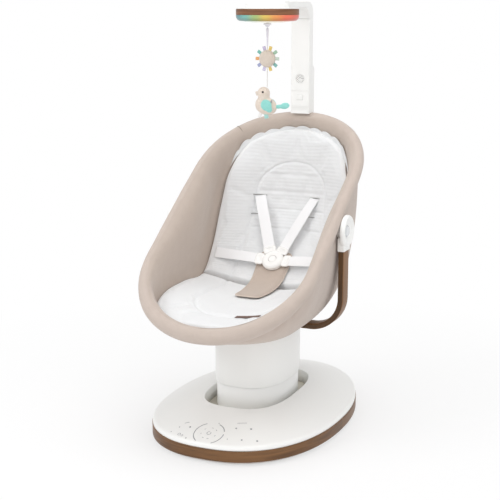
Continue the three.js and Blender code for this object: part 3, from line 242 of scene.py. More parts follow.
def node(tree, kind, **settings):
    made = tree.nodes.new(kind)
    for key, value in settings.items():
        if key in made.inputs:
            made.inputs[key].default_value = value
        else:
            setattr(made, key, value)
    return made


def maths(tree, operation, a, b=None):
    made = tree.nodes.new("ShaderNodeMath")
    made.operation = operation
    for socket, value in zip(made.inputs, (a, b)):
        if isinstance(value, (int, float)):
            socket.default_value = value
        elif value is not None:
            link(tree, value, socket)
    return made.outputs[0]


def colour_mix(tree, share, a, b, blend="MIX"):
    made = tree.nodes.new("ShaderNodeMix")
    made.data_type, made.blend_type = "RGBA", blend
    for socket, value in ((made.inputs[0], share), (made.inputs[6], a), (made.inputs[7], b)):
        if isinstance(value, (int, float, tuple)):
            socket.default_value = value
        else:
            link(tree, value, socket)
    return made.outputs[2]


FLOAT, COLOUR, VECTOR = "NodeSocketFloat", "NodeSocketColor", "NodeSocketVector"


def make_weave():
    """Threads over and under each other, with a little colour drift from thread to thread."""
    group, inside, outside = new_group("woven threads", [
        ("Vector", VECTOR, None), ("Threads", FLOAT, 900.0), ("Colour", COLOUR, None), ("Shade", COLOUR, None),
        ("Drift", FLOAT, 0.5)], [("Colour", COLOUR), ("Height", FLOAT)])
    scaled = node(group, "ShaderNodeVectorMath", operation="SCALE")
    link(group, inside.outputs["Vector"], scaled.inputs[0])
    link(group, inside.outputs["Threads"], scaled.inputs["Scale"])
    split = node(group, "ShaderNodeSeparateXYZ")
    link(group, scaled.outputs[0], split.inputs[0])
    warp = maths(group, "SINE", maths(group, "MULTIPLY", split.outputs["X"], TAU / 2))
    weft = maths(group, "SINE", maths(group, "MULTIPLY", split.outputs["Y"], TAU / 2))
    height = maths(group, "MULTIPLY", warp, weft)
    cloud = node(group, "ShaderNodeTexNoise", Scale=38.0, Detail=4.0, Roughness=0.6)
    link(group, inside.outputs["Vector"], cloud.inputs["Vector"])
    slub = node(group, "ShaderNodeTexNoise", Scale=1.0, Detail=1.0)
    stretch = node(group, "ShaderNodeVectorMath", operation="MULTIPLY")
    stretch.inputs[1].default_value = (60.0, 520.0, 60.0)
    link(group, inside.outputs["Vector"], stretch.inputs[0])
    link(group, stretch.outputs[0], slub.inputs["Vector"])
    both = maths(group, "ADD", cloud.outputs["Fac"], maths(group, "MULTIPLY", slub.outputs["Fac"], 0.6))
    share = maths(group, "MULTIPLY", maths(group, "SUBTRACT", both, 0.55), inside.outputs["Drift"])
    threads = maths(group, "ADD", share, maths(group, "MULTIPLY", height, 0.12))
    link(group, colour_mix(group, threads, inside.outputs["Colour"], inside.outputs["Shade"]), outside.inputs["Colour"])
    link(group, maths(group, "ADD", height, maths(group, "MULTIPLY", slub.outputs["Fac"], 0.8)), outside.inputs["Height"])
    return group


def make_grain():
    """Wood grain along X: long fibres, slow bands and fine pores."""
    group, inside, outside = new_group("wood grain", [
        ("Vector", VECTOR, None), ("Light", COLOUR, None), ("Dark", COLOUR, None)], [("Colour", COLOUR), ("Height", FLOAT)])
    stretch = node(group, "ShaderNodeVectorMath", operation="MULTIPLY")
    stretch.inputs[1].default_value = (5.0, 60.0, 60.0)
    link(group, inside.outputs["Vector"], stretch.inputs[0])
    bands = node(group, "ShaderNodeTexNoise", Scale=1.0, Detail=5.0, Roughness=0.6, Distortion=1.4)
    link(group, stretch.outputs[0], bands.inputs["Vector"])
    fine = node(group, "ShaderNodeVectorMath", operation="MULTIPLY")
    fine.inputs[1].default_value = (22.0, 900.0, 900.0)
    link(group, inside.outputs["Vector"], fine.inputs[0])
    pores = node(group, "ShaderNodeTexNoise", Scale=1.0, Detail=2.0)
    link(group, fine.outputs[0], pores.inputs["Vector"])
    ramp = node(group, "ShaderNodeValToRGB")
    ramp.color_ramp.elements[0].position = 0.32
    ramp.color_ramp.elements[1].position = 0.72
    link(group, bands.outputs["Fac"], ramp.inputs[0])
    share = maths(group, "ADD", ramp.outputs[0], maths(group, "MULTIPLY", maths(group, "SUBTRACT", pores.outputs["Fac"], 0.5), 0.5))
    link(group, colour_mix(group, share, inside.outputs["Light"], inside.outputs["Dark"]), outside.inputs["Colour"])
    link(group, pores.outputs["Fac"], outside.inputs["Height"])
    return group


def make_skin():
    """The faint unevenness of a moulded or brushed surface: a change of gloss and a fine relief."""
    group, inside, outside = new_group("moulded skin", [
        ("Vector", VECTOR, None), ("Roughness", FLOAT, 0.35), ("Change", FLOAT, 0.1)],
        [("Roughness", FLOAT), ("Height", FLOAT)])
    soft = node(group, "ShaderNodeTexNoise", Scale=14.0, Detail=3.0)
    grain = node(group, "ShaderNodeTexNoise", Scale=900.0, Detail=1.0)
    for made in (soft, grain):
        link(group, inside.outputs["Vector"], made.inputs["Vector"])
    drift = maths(group, "MULTIPLY", maths(group, "SUBTRACT", soft.outputs["Fac"], 0.5), inside.outputs["Change"])
    link(group, maths(group, "ADD", inside.outputs["Roughness"], drift), outside.inputs["Roughness"])
    link(group, grain.outputs["Fac"], outside.inputs["Height"])
    return group


def make_plush():
    """Short pile: clumps of fibres that shade and stand up."""
    group, inside, outside = new_group("short pile", [
        ("Vector", VECTOR, None), ("Colour", COLOUR, None), ("Shade", COLOUR, None)], [("Colour", COLOUR), ("Height", FLOAT)])
    clumps = node(group, "ShaderNodeTexNoise", Scale=260.0, Detail=3.0, Roughness=0.7)
    fibres = node(group, "ShaderNodeTexVoronoi", Scale=1100.0)
    for made in (clumps, fibres):
        link(group, inside.outputs["Vector"], made.inputs["Vector"])
    link(group, colour_mix(group, clumps.outputs["Fac"], inside.outputs["Colour"], inside.outputs["Shade"]), outside.inputs["Colour"])
    link(group, maths(group, "ADD", clumps.outputs["Fac"], maths(group, "MULTIPLY", fibres.outputs["Distance"], 0.6)), outside.inputs["Height"])
    return group


WEAVE, GRAIN, SKIN, PLUSH = make_weave(), make_grain(), make_skin(), make_plush()


def start_material(name, **sockets):
    material = bpy.data.materials.new(name)
    material.use_nodes = True
    tree = material.node_tree
    shader = tree.nodes["Principled BSDF"]
    for key, value in sockets.items():
        shader.inputs[key.replace("_", " ")].default_value = value
    return material, tree, shader


def effect(tree, group, vector, **values):
    made = tree.nodes.new("ShaderNodeGroup")
    made.node_tree = group
    link(tree, vector, made.inputs["Vector"])
    for key, value in values.items():
        made.inputs[key].default_value = value
    return made


def relief(tree, height, strength, distance, shader, before=None):
    bump = node(tree, "ShaderNodeBump", Strength=strength, Distance=distance)
    link(tree, height, bump.inputs["Height"])
    if before is not None:
        link(tree, before, bump.inputs["Normal"])
    link(tree, bump.outputs[0], shader.inputs["Normal"])
    return bump.outputs[0]


def coordinates(tree, uv):
    made = tree.nodes.new("ShaderNodeTexCoord")
    return made.outputs["UV" if uv else "Object"]


def plastic(name, colour, roughness=0.35, uv=False, **sockets):
    material, tree, shader = start_material(name, Base_Color=colour, **sockets)
    skin_of = effect(tree, SKIN, coordinates(tree, uv), Roughness=roughness, Change=0.12)
    link(tree, skin_of.outputs["Roughness"], shader.inputs["Roughness"])
    relief(tree, skin_of.outputs["Height"], 0.12, 0.0002, shader)
    return material


def cloth(name, colour, shade, threads=900.0, drift=0.5, uv=True, strength=0.35, **sockets):
    settings = {"Roughness": 0.92, "Sheen_Weight": 0.25, "Sheen_Roughness": 0.5, "Specular_IOR_Level": 0.25}
    material, tree, shader = start_material(name, **{**settings, **sockets})
    woven = effect(tree, WEAVE, coordinates(tree, uv), Threads=threads, Colour=colour, Shade=shade, Drift=drift)
    link(tree, woven.outputs["Colour"], shader.inputs["Base Color"])
    relief(tree, woven.outputs["Height"], strength, 0.0006, shader)
    return material


def wood(name, light, dark, uv=True, roughness=0.42):
    material, tree, shader = start_material(name, Roughness=roughness, Coat_Weight=0.05, Coat_Roughness=0.3, Specular_IOR_Level=0.35)
    grained = effect(tree, GRAIN, coordinates(tree, uv), Light=light, Dark=dark)
    link(tree, grained.outputs["Colour"], shader.inputs["Base Color"])
    relief(tree, grained.outputs["Height"], 0.2, 0.0002, shader)
    return material


def pile(name, colour, shade):
    material, tree, shader = start_material(
        name, Roughness=0.95, Sheen_Weight=0.6, Sheen_Roughness=0.4, Specular_IOR_Level=0.2)
    fluffy = effect(tree, PLUSH, coordinates(tree, False), Colour=colour, Shade=shade)
    link(tree, fluffy.outputs["Colour"], shader.inputs["Base Color"])
    relief(tree, fluffy.outputs["Height"], 0.6, 0.0012, shader)
    return material


# ---------------------------------------------------------------- materials
BEIGE, BEIGE_SHADE = srgb(203, 189, 179), srgb(178, 163, 153)
fabric_beige = cloth("padded_fabric", BEIGE, BEIGE_SHADE, threads=700.0, drift=0.55)
fabric_wall = cloth("inner_fabric", srgb(202, 188, 177), srgb(177, 162, 151), threads=700.0, drift=0.5)
crotch_fabric = cloth("crotch_fabric", srgb(199, 184, 172), srgb(174, 158, 146), threads=800.0, drift=0.5)
crotch_trim = cloth("crotch_trim", srgb(216, 202, 190), srgb(192, 177, 165), threads=900.0, drift=0.4)
pad_fabric = cloth("pad_fabric", srgb(239, 240, 241), srgb(225, 226, 228), threads=900.0, drift=0.4)
webbing = cloth("webbing", srgb(249, 249, 250), srgb(239, 239, 242), threads=1100.0, drift=0.3, strength=0.3)
binding = cloth("binding", srgb(150, 134, 124), srgb(126, 111, 102), threads=900.0, drift=0.4)
# Painted shadow: dark grey cloth for the strips that stand for the shade inside the strap slits.
slot_shadow_fabric = cloth("slot_edge", srgb(150, 147, 146), srgb(126, 123, 122), threads=900.0, drift=0.4)
tag_fabric = cloth("tag_fabric", srgb(112, 84, 72), srgb(84, 62, 54), threads=1100.0, drift=0.5)
sleeve_fabric = cloth("string_sleeve", srgb(236, 233, 242), srgb(220, 216, 230), threads=1500.0, uv=False)
string_fabric = cloth("string", srgb(240, 238, 234), srgb(212, 208, 202), threads=1600.0, drift=0.6)
plastic_white = plastic("white_plastic", srgb(248, 248, 246), 0.34, Coat_Weight=0.08, Coat_Roughness=0.25)
plastic_silver = plastic("silver_plastic", srgb(224, 226, 228), 0.18, Coat_Weight=0.3, Coat_Roughness=0.1)
plastic_inner = plastic("white_plastic_inner", srgb(238, 236, 232), 0.5)
plastic_gloss = plastic("glossy_white_plastic", srgb(248, 247, 245), 0.2, Coat_Weight=0.2, Coat_Roughness=0.12)
plastic_dark = plastic("dark_plastic", srgb(58, 56, 56), 0.55)
plastic_grey = plastic("grey_plastic", srgb(232, 230, 238), 0.35)
plastic_nylon = plastic("nylon", srgb(216, 212, 200), 0.55)
rubber = plastic("rubber", srgb(44, 44, 45), 0.85)
board_green = plastic("board", srgb(47, 107, 70), 0.5)
metal = plastic("steel", srgb(176, 178, 182), 0.32, Metallic=1.0)
wood_band = wood("wood_band", srgb(134, 95, 58), srgb(82, 55, 31))
wood_arm = wood("wood_arm", srgb(144, 98, 48), srgb(98, 64, 28))
# Painted shade: a darker copy of the arm's wood, for the faces that look forward and back.
wood_arm_shaded_front = wood("wood_arm_shaded_front", srgb(100, 69, 38), srgb(62, 41, 20))
wood_disc = wood("wood_disc", srgb(156, 106, 72), srgb(96, 62, 42))


def lit(name, stops, strength, half_width, middle_y, painted_shade=1.0):
    """Frosted lens lit in bands of colour, from the picture's left to its right, with painted shade towards its lower
    edge.
    """
    material, tree, shader = start_material(name, Roughness=0.3, Coat_Weight=0.1)
    split = node(tree, "ShaderNodeSeparateXYZ")
    link(tree, coordinates(tree, False), split.inputs[0])
    along = maths(tree, "ADD", maths(tree, "MULTIPLY", split.outputs[0], math.cos(CAMERA_AZIMUTH)),
                  maths(tree, "MULTIPLY", maths(tree, "SUBTRACT", split.outputs[1], middle_y), math.sin(CAMERA_AZIMUTH)))
    share = maths(tree, "ADD", maths(tree, "MULTIPLY", along, 0.5 / half_width), 0.5)
    ramp = node(tree, "ShaderNodeValToRGB")
    bands = ramp.color_ramp
    bands.interpolation = "EASE"
    bands.elements[0].color, bands.elements[1].color = srgb(*stops[0][1]), srgb(*stops[-1][1])
    for place, colour in stops[1:-1]:
        bands.elements.new(place).color = srgb(*colour)
    link(tree, share, ramp.inputs[0])
    # Painted shade: towards the ring's lower edge the colour is mixed with a dark brown, as far as painted_shade asks.
    height = node(tree, "ShaderNodeMapRange")
    for key, value in (("From Min", 0.8985), ("From Max", 0.907), ("To Min", 0.45), ("To Max", 0.0)):
        height.inputs[key].default_value = value
    link(tree, split.outputs[2], height.inputs["Value"])
    shaded = colour_mix(tree, maths(tree, "MULTIPLY", height.outputs[0], painted_shade), ramp.outputs[0], srgb(70, 52, 48))
    link(tree, shaded, shader.inputs["Base Color"])
    link(tree, shaded, shader.inputs["Emission Color"])
    shader.inputs["Emission Strength"].default_value = strength
    return material


RAINBOW = [(0.0, (84, 132, 142)), (0.14, (116, 176, 168)), (0.3, (160, 184, 116)), (0.46, (220, 188, 92)),
           (0.62, (232, 152, 84)), (0.8, (238, 116, 88)), (1.0, (214, 96, 84))]
rainbow_light = lit("rainbow_light", RAINBOW, 0.12, 0.069, (47 + PLACE_Y) * MM)
cap_glow = lit("disc_cap_glow", [(0.0, (222, 236, 228)), (0.5, (244, 240, 220)), (1.0, (248, 228, 216))], 0.12, 0.054,
               (47 + PLACE_Y) * MM, 0.0)
print_grey = plastic("printed_mark", srgb(158, 158, 162), 0.5)
sun_pile = pile("sun_pile", srgb(232, 220, 208), srgb(212, 198, 184))
bird_pile = pile("bird_pile", srgb(244, 232, 220), srgb(224, 208, 193))
mint_pile = pile("mint_pile", srgb(170, 232, 224), srgb(136, 212, 204))
eye_gloss = plastic("eye", srgb(34, 28, 28), 0.15)

# ---------------------------------------------------------------- the seat's guiding lines
RIM_FRONT, RIM_BACK, RIM_HALF = 302.0, 385.0, 190.0
TILT = math.radians(34.9)
RIM_UP = np.array([0.0, -math.sin(TILT), math.cos(TILT)])
# Edge of the bed (x, y, z), its middle (y, z) and the place on the rim, from the front tip to the back tip.
STATIONS = np.array([
    [0, -276, 270, -276, 270, -302], [88, -262, 276, -262, 272, -285], [146, -218, 296, -218, 273, -225],
    [163, -150, 314, -150, 274, -140], [165, -62, 318, -66, 276, -45], [165, 40, 315, 56, 283, 50],
    [167, 98, 375, 154, 358, 125], [165, 140, 470, 225, 455, 200], [152, 168, 548, 243, 540, 275],
    [108, 218, 616, 250, 603, 345], [0, 260, 641, 260, 641, 385]], float)
MIRRORED = np.vstack([STATIONS, STATIONS[-2:0:-1] * [-1, 1, 1, 1, 1, 1]])


def around(columns, t):
    """Closed smooth curve through the stations; t runs from 0 at the front tip over 0.5 at the back."""
    points = MIRRORED[:, columns]
    count = len(points)
    place = (np.atleast_1d(np.asarray(t, float)) % 1) * count
    i = np.floor(place).astype(int)
    w = (place - i)[:, None]
    a, b, c, d = (points[(i + k) % count] for k in (-1, 0, 1, 2))
    u, v = (c - a) / 2, (d - b) / 2
    return b + u * w + (-3 * b + 3 * c - 2 * u - v) * w ** 2 + (2 * b - 2 * c + u + v) * w ** 3


def rim_place(t):
    return np.clip(around([5], t)[:, 0], -RIM_FRONT, RIM_BACK)


def rim_centre(t):
    t = np.atleast_1d(np.asarray(t, float)) % 1
    s = rim_place(t)
    beyond = np.where(s < 0, (-s - 100) / (RIM_FRONT - 100), (s - 171) / (RIM_BACK - 171))
    half = RIM_HALF * np.maximum(0, 1 - np.clip(beyond, 0, 1) ** 2.1) ** (1 / 2.1)
    sag = 8.5e-5 * s * s
    return np.stack([np.where(t <= 0.5, 1, -1) * half,
                     -56.8 + s * math.cos(TILT) + sag * math.sin(TILT),
                     456.3 + s * math.sin(TILT) - sag * math.cos(TILT)], 1)


def rim_radius(t):
    s = rim_place(t)
    return 13 + 5 * smooth_step((-s - 60) / (RIM_FRONT - 60)) + 3.5 * smooth_step((s - 150) / (RIM_BACK - 150))


def rim_outward(t):
    t = np.atleast_1d(np.asarray(t, float))
    along = rim_centre(t + 1e-3) - rim_centre(t - 1e-3)
    out = np.cross(along, RIM_UP)
    return out / np.linalg.norm(out, axis=1)[:, None]


def bed(t, lateral):
    """Bed under the pads; lateral runs from -1 at the left edge to 1 at the right edge."""
    t, lateral = np.broadcast_arrays(np.atleast_1d(np.asarray(t, float)), np.asarray(lateral, float))
    edge, middle = around([0, 1, 2], t), around([3, 4], t)
    rise = np.abs(lateral) ** 2.2
    return np.stack([edge[:, 0] * lateral, middle[:, 0] + (edge[:, 1] - middle[:, 0]) * rise,
                     middle[:, 1] + (edge[:, 2] - middle[:, 1]) * rise], 1)


def bed_normal(t, lateral):
    across = bed(t, lateral + 4e-3) - bed(t, lateral - 4e-3)
    along = bed(t + 4e-3, lateral) - bed(t - 4e-3, lateral)
    up = np.cross(across, along)
    return up / np.linalg.norm(up, axis=1)[:, None]


def pad_height(t, lateral):
    """Height of a pad's top over the bed, from its crown in the middle to its thin edge."""
    thickness = 18 + 3 * smooth_step((t - 0.21) / 0.06)
    crown = 6 + (thickness - 6) * np.maximum(0, 1 - np.abs(lateral) ** 4) ** 0.6
    return 0.8 + 1.8 * lateral ** 2 + crown


def pad_top(t, lateral, lift=0.0):
    t, lateral = np.broadcast_arrays(np.atleast_1d(np.asarray(t, float)), np.asarray(lateral, float))
    return bed(t, lateral) + bed_normal(t, lateral) * (pad_height(t, lateral) + lift)[:, None]


def station(number):
    return number / 20


def path_length(points):
    return np.concatenate([[0], np.cumsum(np.linalg.norm(np.diff(points, axis=0), axis=1))])


# ---------------------------------------------------------------- rim, bucket and inner wall
def nearest_t(pixel_x, pixel_y, low, high, lift=0.0):
    """Place on the rim whose upper side the camera sees nearest to a pixel of the picture."""
    ts = np.linspace(low, high, 400)
    tops = rim_centre(ts) + RIM_UP * (rim_radius(ts)[:, None] + lift)
    offset = tops - np.array([991.3, -2273.3, 933.0])
    ahead = np.array([-math.sin(CAMERA_AZIMUTH) * math.cos(CAMERA_PITCH),
                      math.cos(CAMERA_AZIMUTH) * math.cos(CAMERA_PITCH), -math.sin(CAMERA_PITCH)])
    right = np.array([math.cos(CAMERA_AZIMUTH), math.sin(CAMERA_AZIMUTH), 0.0])
    down = np.cross(ahead, right)
    depth = offset @ ahead
    px = 250 + 1133 * (offset @ right) / depth
    py = 250 + 1133 * (offset @ down) / depth
    return ts[np.argmin((px - pixel_x) ** 2 + (py - pixel_y) ** 2)]


RIM_COUNT, RIM_SIDES = 420, 36
RIM_T = np.arange(RIM_COUNT) / RIM_COUNT
RIM_LENGTH = path_length(rim_centre(np.append(RIM_T, 1.0)))
SEAM_T = [nearest_t(241, 130, 0.5, 0.8), 1 - nearest_t(241, 130, 0.5, 0.8)]


def seam_depth(t, width=2.2, depth=1.1):
    """Groove across the rim at each sewn seam."""
    total = np.zeros_like(t)
    for seam in SEAM_T:
        gap = (np.interp(t, np.append(RIM_T, 1.0), RIM_LENGTH) - np.interp(seam, np.append(RIM_T, 1.0), RIM_LENGTH))
        total += depth * np.exp(-(gap / width) ** 2) - 0.35 * np.exp(-((gap - 2.4 * width) / width) ** 2)
    return total


def rim_padding():
    rings, uvs = [], []
    grooves = seam_depth(RIM_T)
    centre, out, radius = rim_centre(RIM_T), rim_outward(RIM_T), rim_radius(RIM_T)
    for i, t in enumerate(RIM_T):
        angle = np.arange(RIM_SIDES) * TAU / RIM_SIDES
        # Soft pulls that run slantwise over the padding.
        pull = np.array([0.55 * ripple((RIM_LENGTH[i] * 0.5 + 14 * a, 30 * math.cos(a), 30 * math.sin(a)), 26.0, 3.1)
                         for a in angle])
        r = (radius[i] - 0.5 - grooves[i] + pull)[:, None]
        rings.append(centre[i] + r * (np.cos(angle)[:, None] * out[i] + np.sin(angle)[:, None] * RIM_UP))
        uvs.append(np.stack([np.full(RIM_SIDES, RIM_LENGTH[i] * MM), angle * radius[i] * MM], 1))
    points, faces = loft(rings, closed=True)
    obj = piece("rim_padding", points, faces, "seat", fabric_beige, np.vstack(uvs),
                replaces=["rim_sleeve", "rim_tube"])
    return obj


def floor_point(t):
    angle = TAU * np.asarray(t)
    power = lambda v: np.sign(v) * np.abs(v) ** (2 / 3)
    return np.stack([122 * power(np.sin(angle)), 40 - 145 - 145 * power(np.cos(angle)), np.full(len(angle), 255.0)], 1)


def bucket_point(t, depth):
    start = rim_centre(t) - RIM_UP * (rim_radius(t)[:, None] * 0.55)
    low = floor_point(t)
    reach = max(0.0, 1 - depth ** 2.5) ** (1 / 2.5)
    flat = low + (start - low) * reach
    return np.column_stack([flat[:, :2], start[:, 2] + (low[:, 2] - start[:, 2]) * depth])


def bucket_cover():
    """Outer fabric: hangs from the rim, taut over the sides, with slack folds towards the floor."""
    depths = [0, 0.05, 0.1, 0.16, 0.23, 0.3, 0.38, 0.46, 0.54, 0.62, 0.7, 0.77, 0.83, 0.88, 0.92, 0.955, 0.98, 0.995, 1.0]
    rings, uvs = [], []
    before, run = None, np.zeros(RIM_COUNT)
    # Small gathers under the rim, beside the corners at the front.
    corner = nearest_t(283, 322, 0.02, 0.3)
    gather = sum(height * np.exp(-((RIM_T - place) / 0.0042) ** 2)
                 for shift, height in ((-0.012, 2.4), (0.0, -2.0), (0.011, 2.6), (0.023, -1.6), (0.034, 1.4))
                 for place in (corner + shift, 1 - corner - shift))
    for depth in depths:
        ring = bucket_point(RIM_T, depth)
        towards = np.roll(ring, -1, 0) - np.roll(ring, 1, 0)
        outward = np.cross(towards, [0, 0, 1.0])
        outward /= np.linalg.norm(outward, axis=1)[:, None]
        slack = math.sin(math.pi * min(1.0, depth * 1.05)) ** 1.2
        fold = np.array([
            1.7 * ripple((p[0] * 0.5 + p[1] * 0.8, p[2] * 0.35 - p[1] * 0.5, 0), 48.0, 7.7)
            + 0.8 * ripple((p[0] + p[1], p[2] * 0.6, 9), 21.0, 1.9) for p in ring])
        fold = fold * slack + gather * math.exp(-((depth - 0.12) / 0.16) ** 2)
        ring = ring + outward * fold[:, None]
        if before is not None:
            run = run + np.linalg.norm(ring - before, axis=1)
        before = ring
        rings.append(ring)
        uvs.append(np.stack([RIM_LENGTH[:-1] * MM, run * MM], 1))
    for share in (0.75, 0.5, 0.25, 0.04):
        ring = floor_point(RIM_T) * [share, 1, 1] + [0, 0, 0]
        ring[:, 1] = -105 + (floor_point(RIM_T)[:, 1] + 105) * (0.3 + 0.7 * share)
        run = run + np.linalg.norm(ring - before, axis=1)
        before = ring
        rings.append(ring)
        uvs.append(np.stack([RIM_LENGTH[:-1] * MM, run * MM], 1))
    points, faces = loft(rings)
    faces.append(tuple((len(rings) - 1) * RIM_COUNT + k for k in range(RIM_COUNT)))
    obj = piece("bucket_cover", points, faces, "seat", fabric_beige, np.vstack(uvs),
                replaces=["outer_cover"])
    return obj


def wall_rings():
    """From the rim's top round its inner side, tangent to it, and down to the bed's edge."""
    centre, out, radius = rim_centre(RIM_T), rim_outward(RIM_T), rim_radius(RIM_T)
    foot = bed(RIM_T, 1.0)
    start = centre + (out * math.cos(math.radians(118)) + RIM_UP * math.sin(math.radians(118))) * (radius[:, None] - 0.3)
    leave = -out * math.sin(math.radians(118)) + RIM_UP * math.cos(math.radians(118))
    span = np.linalg.norm(foot - start, axis=1)[:, None]
    pull_a = start + leave * span * 0.36
    pull_b = foot + (0.75 * RIM_UP + 0.5 * out) * span * 0.30
    rings = []
    for s in np.linspace(0, 1, 26):
        rings.append((1 - s) ** 3 * start + 3 * s * (1 - s) ** 2 * pull_a + 3 * s * s * (1 - s) * pull_b + s ** 3 * foot)
    return rings


def inner_wall():
    """Inner fabric: side walls that flow out of the rim, and the bed under the pads."""
    rings, uvs, run, before = [], [], np.zeros(RIM_COUNT), None
    walls = wall_rings()
    for i, ring in enumerate(walls):
        share = i / (len(walls) - 1)
        towards = np.roll(ring, -1, 0) - np.roll(ring, 1, 0)
        inward = np.cross(towards, RIM_UP)
        inward /= -np.linalg.norm(inward, axis=1)[:, None]
        fold = np.array([1.1 * ripple((p[0], p[1] * 0.6 + p[2] * 0.5, p[2] * 0.2), 55.0, 5.3) for p in ring])
        rings.append(ring + inward * (fold * math.sin(math.pi * share))[:, None])
    for lateral in (0.96, 0.9, 0.8, 0.6, 0.4, 0.2, 0.02):
        rings.append(bed(RIM_T, lateral))
    for ring in rings:
        if before is not None:
            run = run + np.linalg.norm(ring - before, axis=1)
        before = ring
        uvs.append(np.stack([RIM_LENGTH[:-1] * MM, run * MM], 1))
    points, faces = loft(rings)
    obj = piece("inner_wall", points, faces, "seat", fabric_wall, np.vstack(uvs),
                replaces=["inner_liner"])
    return obj


rim = rim_padding()
bucket = bucket_cover()
wall = inner_wall()

# ---------------------------------------------------------------- cushions
PANEL_HALF = 0.6
PANEL_FRONT_Y, PANEL_TOP_Z = -195, 566
BAND_HEIGHTS = (535, 495, 455, 412)
RIB_PITCH = 8.0
REACH = 0.985
CENTRE_T = np.linspace(0.005, 0.495, 1601)
CENTRE_POINTS = pad_top(CENTRE_T, 0.0)
CENTRE_LENGTH = path_length(CENTRE_POINTS)
FOLD_LENGTH = float(np.interp(0.25, CENTRE_T, CENTRE_LENGTH))


def length_at_height(z):
    half = CENTRE_T > 0.24
    return float(np.interp(z, CENTRE_POINTS[half, 2], CENTRE_LENGTH[half]))


def length_at_depth(y):
    half = (CENTRE_T > 0.04) & (CENTRE_T < 0.24)
    return float(np.interp(y, CENTRE_POINTS[half, 1], CENTRE_LENGTH[half]))


def panel_gap(length, lateral):
    """Distance in mm from the sewn outline of the middle panel, negative inside it."""
    front, top = length_at_depth(PANEL_FRONT_Y), length_at_height(PANEL_TOP_Z)
    round_off = np.where(length < FOLD_LENGTH, np.maximum(0, 85 - (length - front)) / 85,
                         np.maximum(0, 72 - (top - length)) / 72)
    q = (np.abs(lateral) / PANEL_HALF) ** 2.2 + round_off ** 2.2
    return (q ** (1 / 2.2) - 1) * 92


def sewn_depth(length, lateral):
    """Depth of the sewn lines: the panel's outline and the bands across it."""
    gap = panel_gap(length, lateral)
    depth = 3.2 * np.exp(-(gap / 3.2) ** 2)
    for height in BAND_HEIGHTS:
        line = 1.7 * np.exp(-((length - length_at_height(height)) / 2.6) ** 2)
        depth = np.maximum(depth, line * smooth_step((-gap - 1) / 5))
    return depth


def cubic_weights(count, places):
    """Catmull-Rom weights that take values on count even places to the given places from 0 to 1."""
    spot = np.clip(np.asarray(places) * (count - 1), 0, count - 1 - 1e-9)
    base, share = np.floor(spot).astype(int), spot - np.floor(spot)
    weights = np.zeros((len(spot), count))
    for shift, value in ((-1, -share / 2 + share ** 2 - share ** 3 / 2),
                         (0, 1 - 2.5 * share ** 2 + 1.5 * share ** 3),
                         (1, share / 2 + 2 * share ** 2 - 1.5 * share ** 3),
                         (2, -share ** 2 / 2 + share ** 3 / 2)):
        np.add.at(weights, (np.arange(len(spot)), np.clip(base + shift, 0, count - 1)), value)
    return weights


def cushion_grid(t0, t1, row_step, columns):
    """Row places on the centre line, laterals, and the grids of t, lateral, length and top height."""
    s0, s1 = np.interp([t0, t1], CENTRE_T, CENTRE_LENGTH)
    rows = int(round((s1 - s0) / row_step))
    lengths = np.linspace(s0, s1, rows + 1)
    t = np.interp(lengths, CENTRE_LENGTH, CENTRE_T)
    lateral = REACH * np.sin(np.linspace(-1, 1, columns + 1) * 1.38) / math.sin(1.38)
    t_grid, u_grid = np.meshgrid(t, lateral, indexing="ij")
    s_grid = np.repeat(lengths[:, None], columns + 1, 1)
    half = np.interp(t, CENTRE_T, around([0], CENTRE_T)[:, 0])[:, None]
    rim = np.minimum.reduce([(REACH - np.abs(u_grid)) * half, s_grid - s0, s1 - s_grid])
    border = np.sqrt(np.maximum(0, 1 - (1 - np.clip(rim / 8.0, 0, 1)) ** 2))
    seat = 0.8 + 1.8 * u_grid ** 2
    full = pad_height(t_grid, u_grid) - seat
    return t_grid, u_grid, s_grid, seat, full * (0.12 + 0.88 * border), rim


def cushion_surface(t, u, lift):
    shape = t.shape
    t, u, lift = t.ravel(), u.ravel(), lift.ravel()
    return (bed(t, u) + bed_normal(t, u) * lift[:, None]).reshape(*shape, 3)


def closed_slab(top, bottom):
    """Points and faces of a slab between two grids of the same size."""
    rows, columns = top.shape[:2]
    total = rows * columns
    faces = grid_faces(rows, columns)
    faces += [tuple(total + v for v in reversed(face)) for face in faces]
    loop = [k for k in range(columns)] + [i * columns + columns - 1 for i in range(1, rows)] \
        + [(rows - 1) * columns + k for k in range(columns - 2, -1, -1)] + [i * columns for i in range(rows - 2, 0, -1)]
    for a, b in zip(loop, loop[1:] + loop[:1]):
        faces.append((b, a, a + total, b + total))
    return np.vstack([top.reshape(-1, 3), bottom.reshape(-1, 3)]), faces


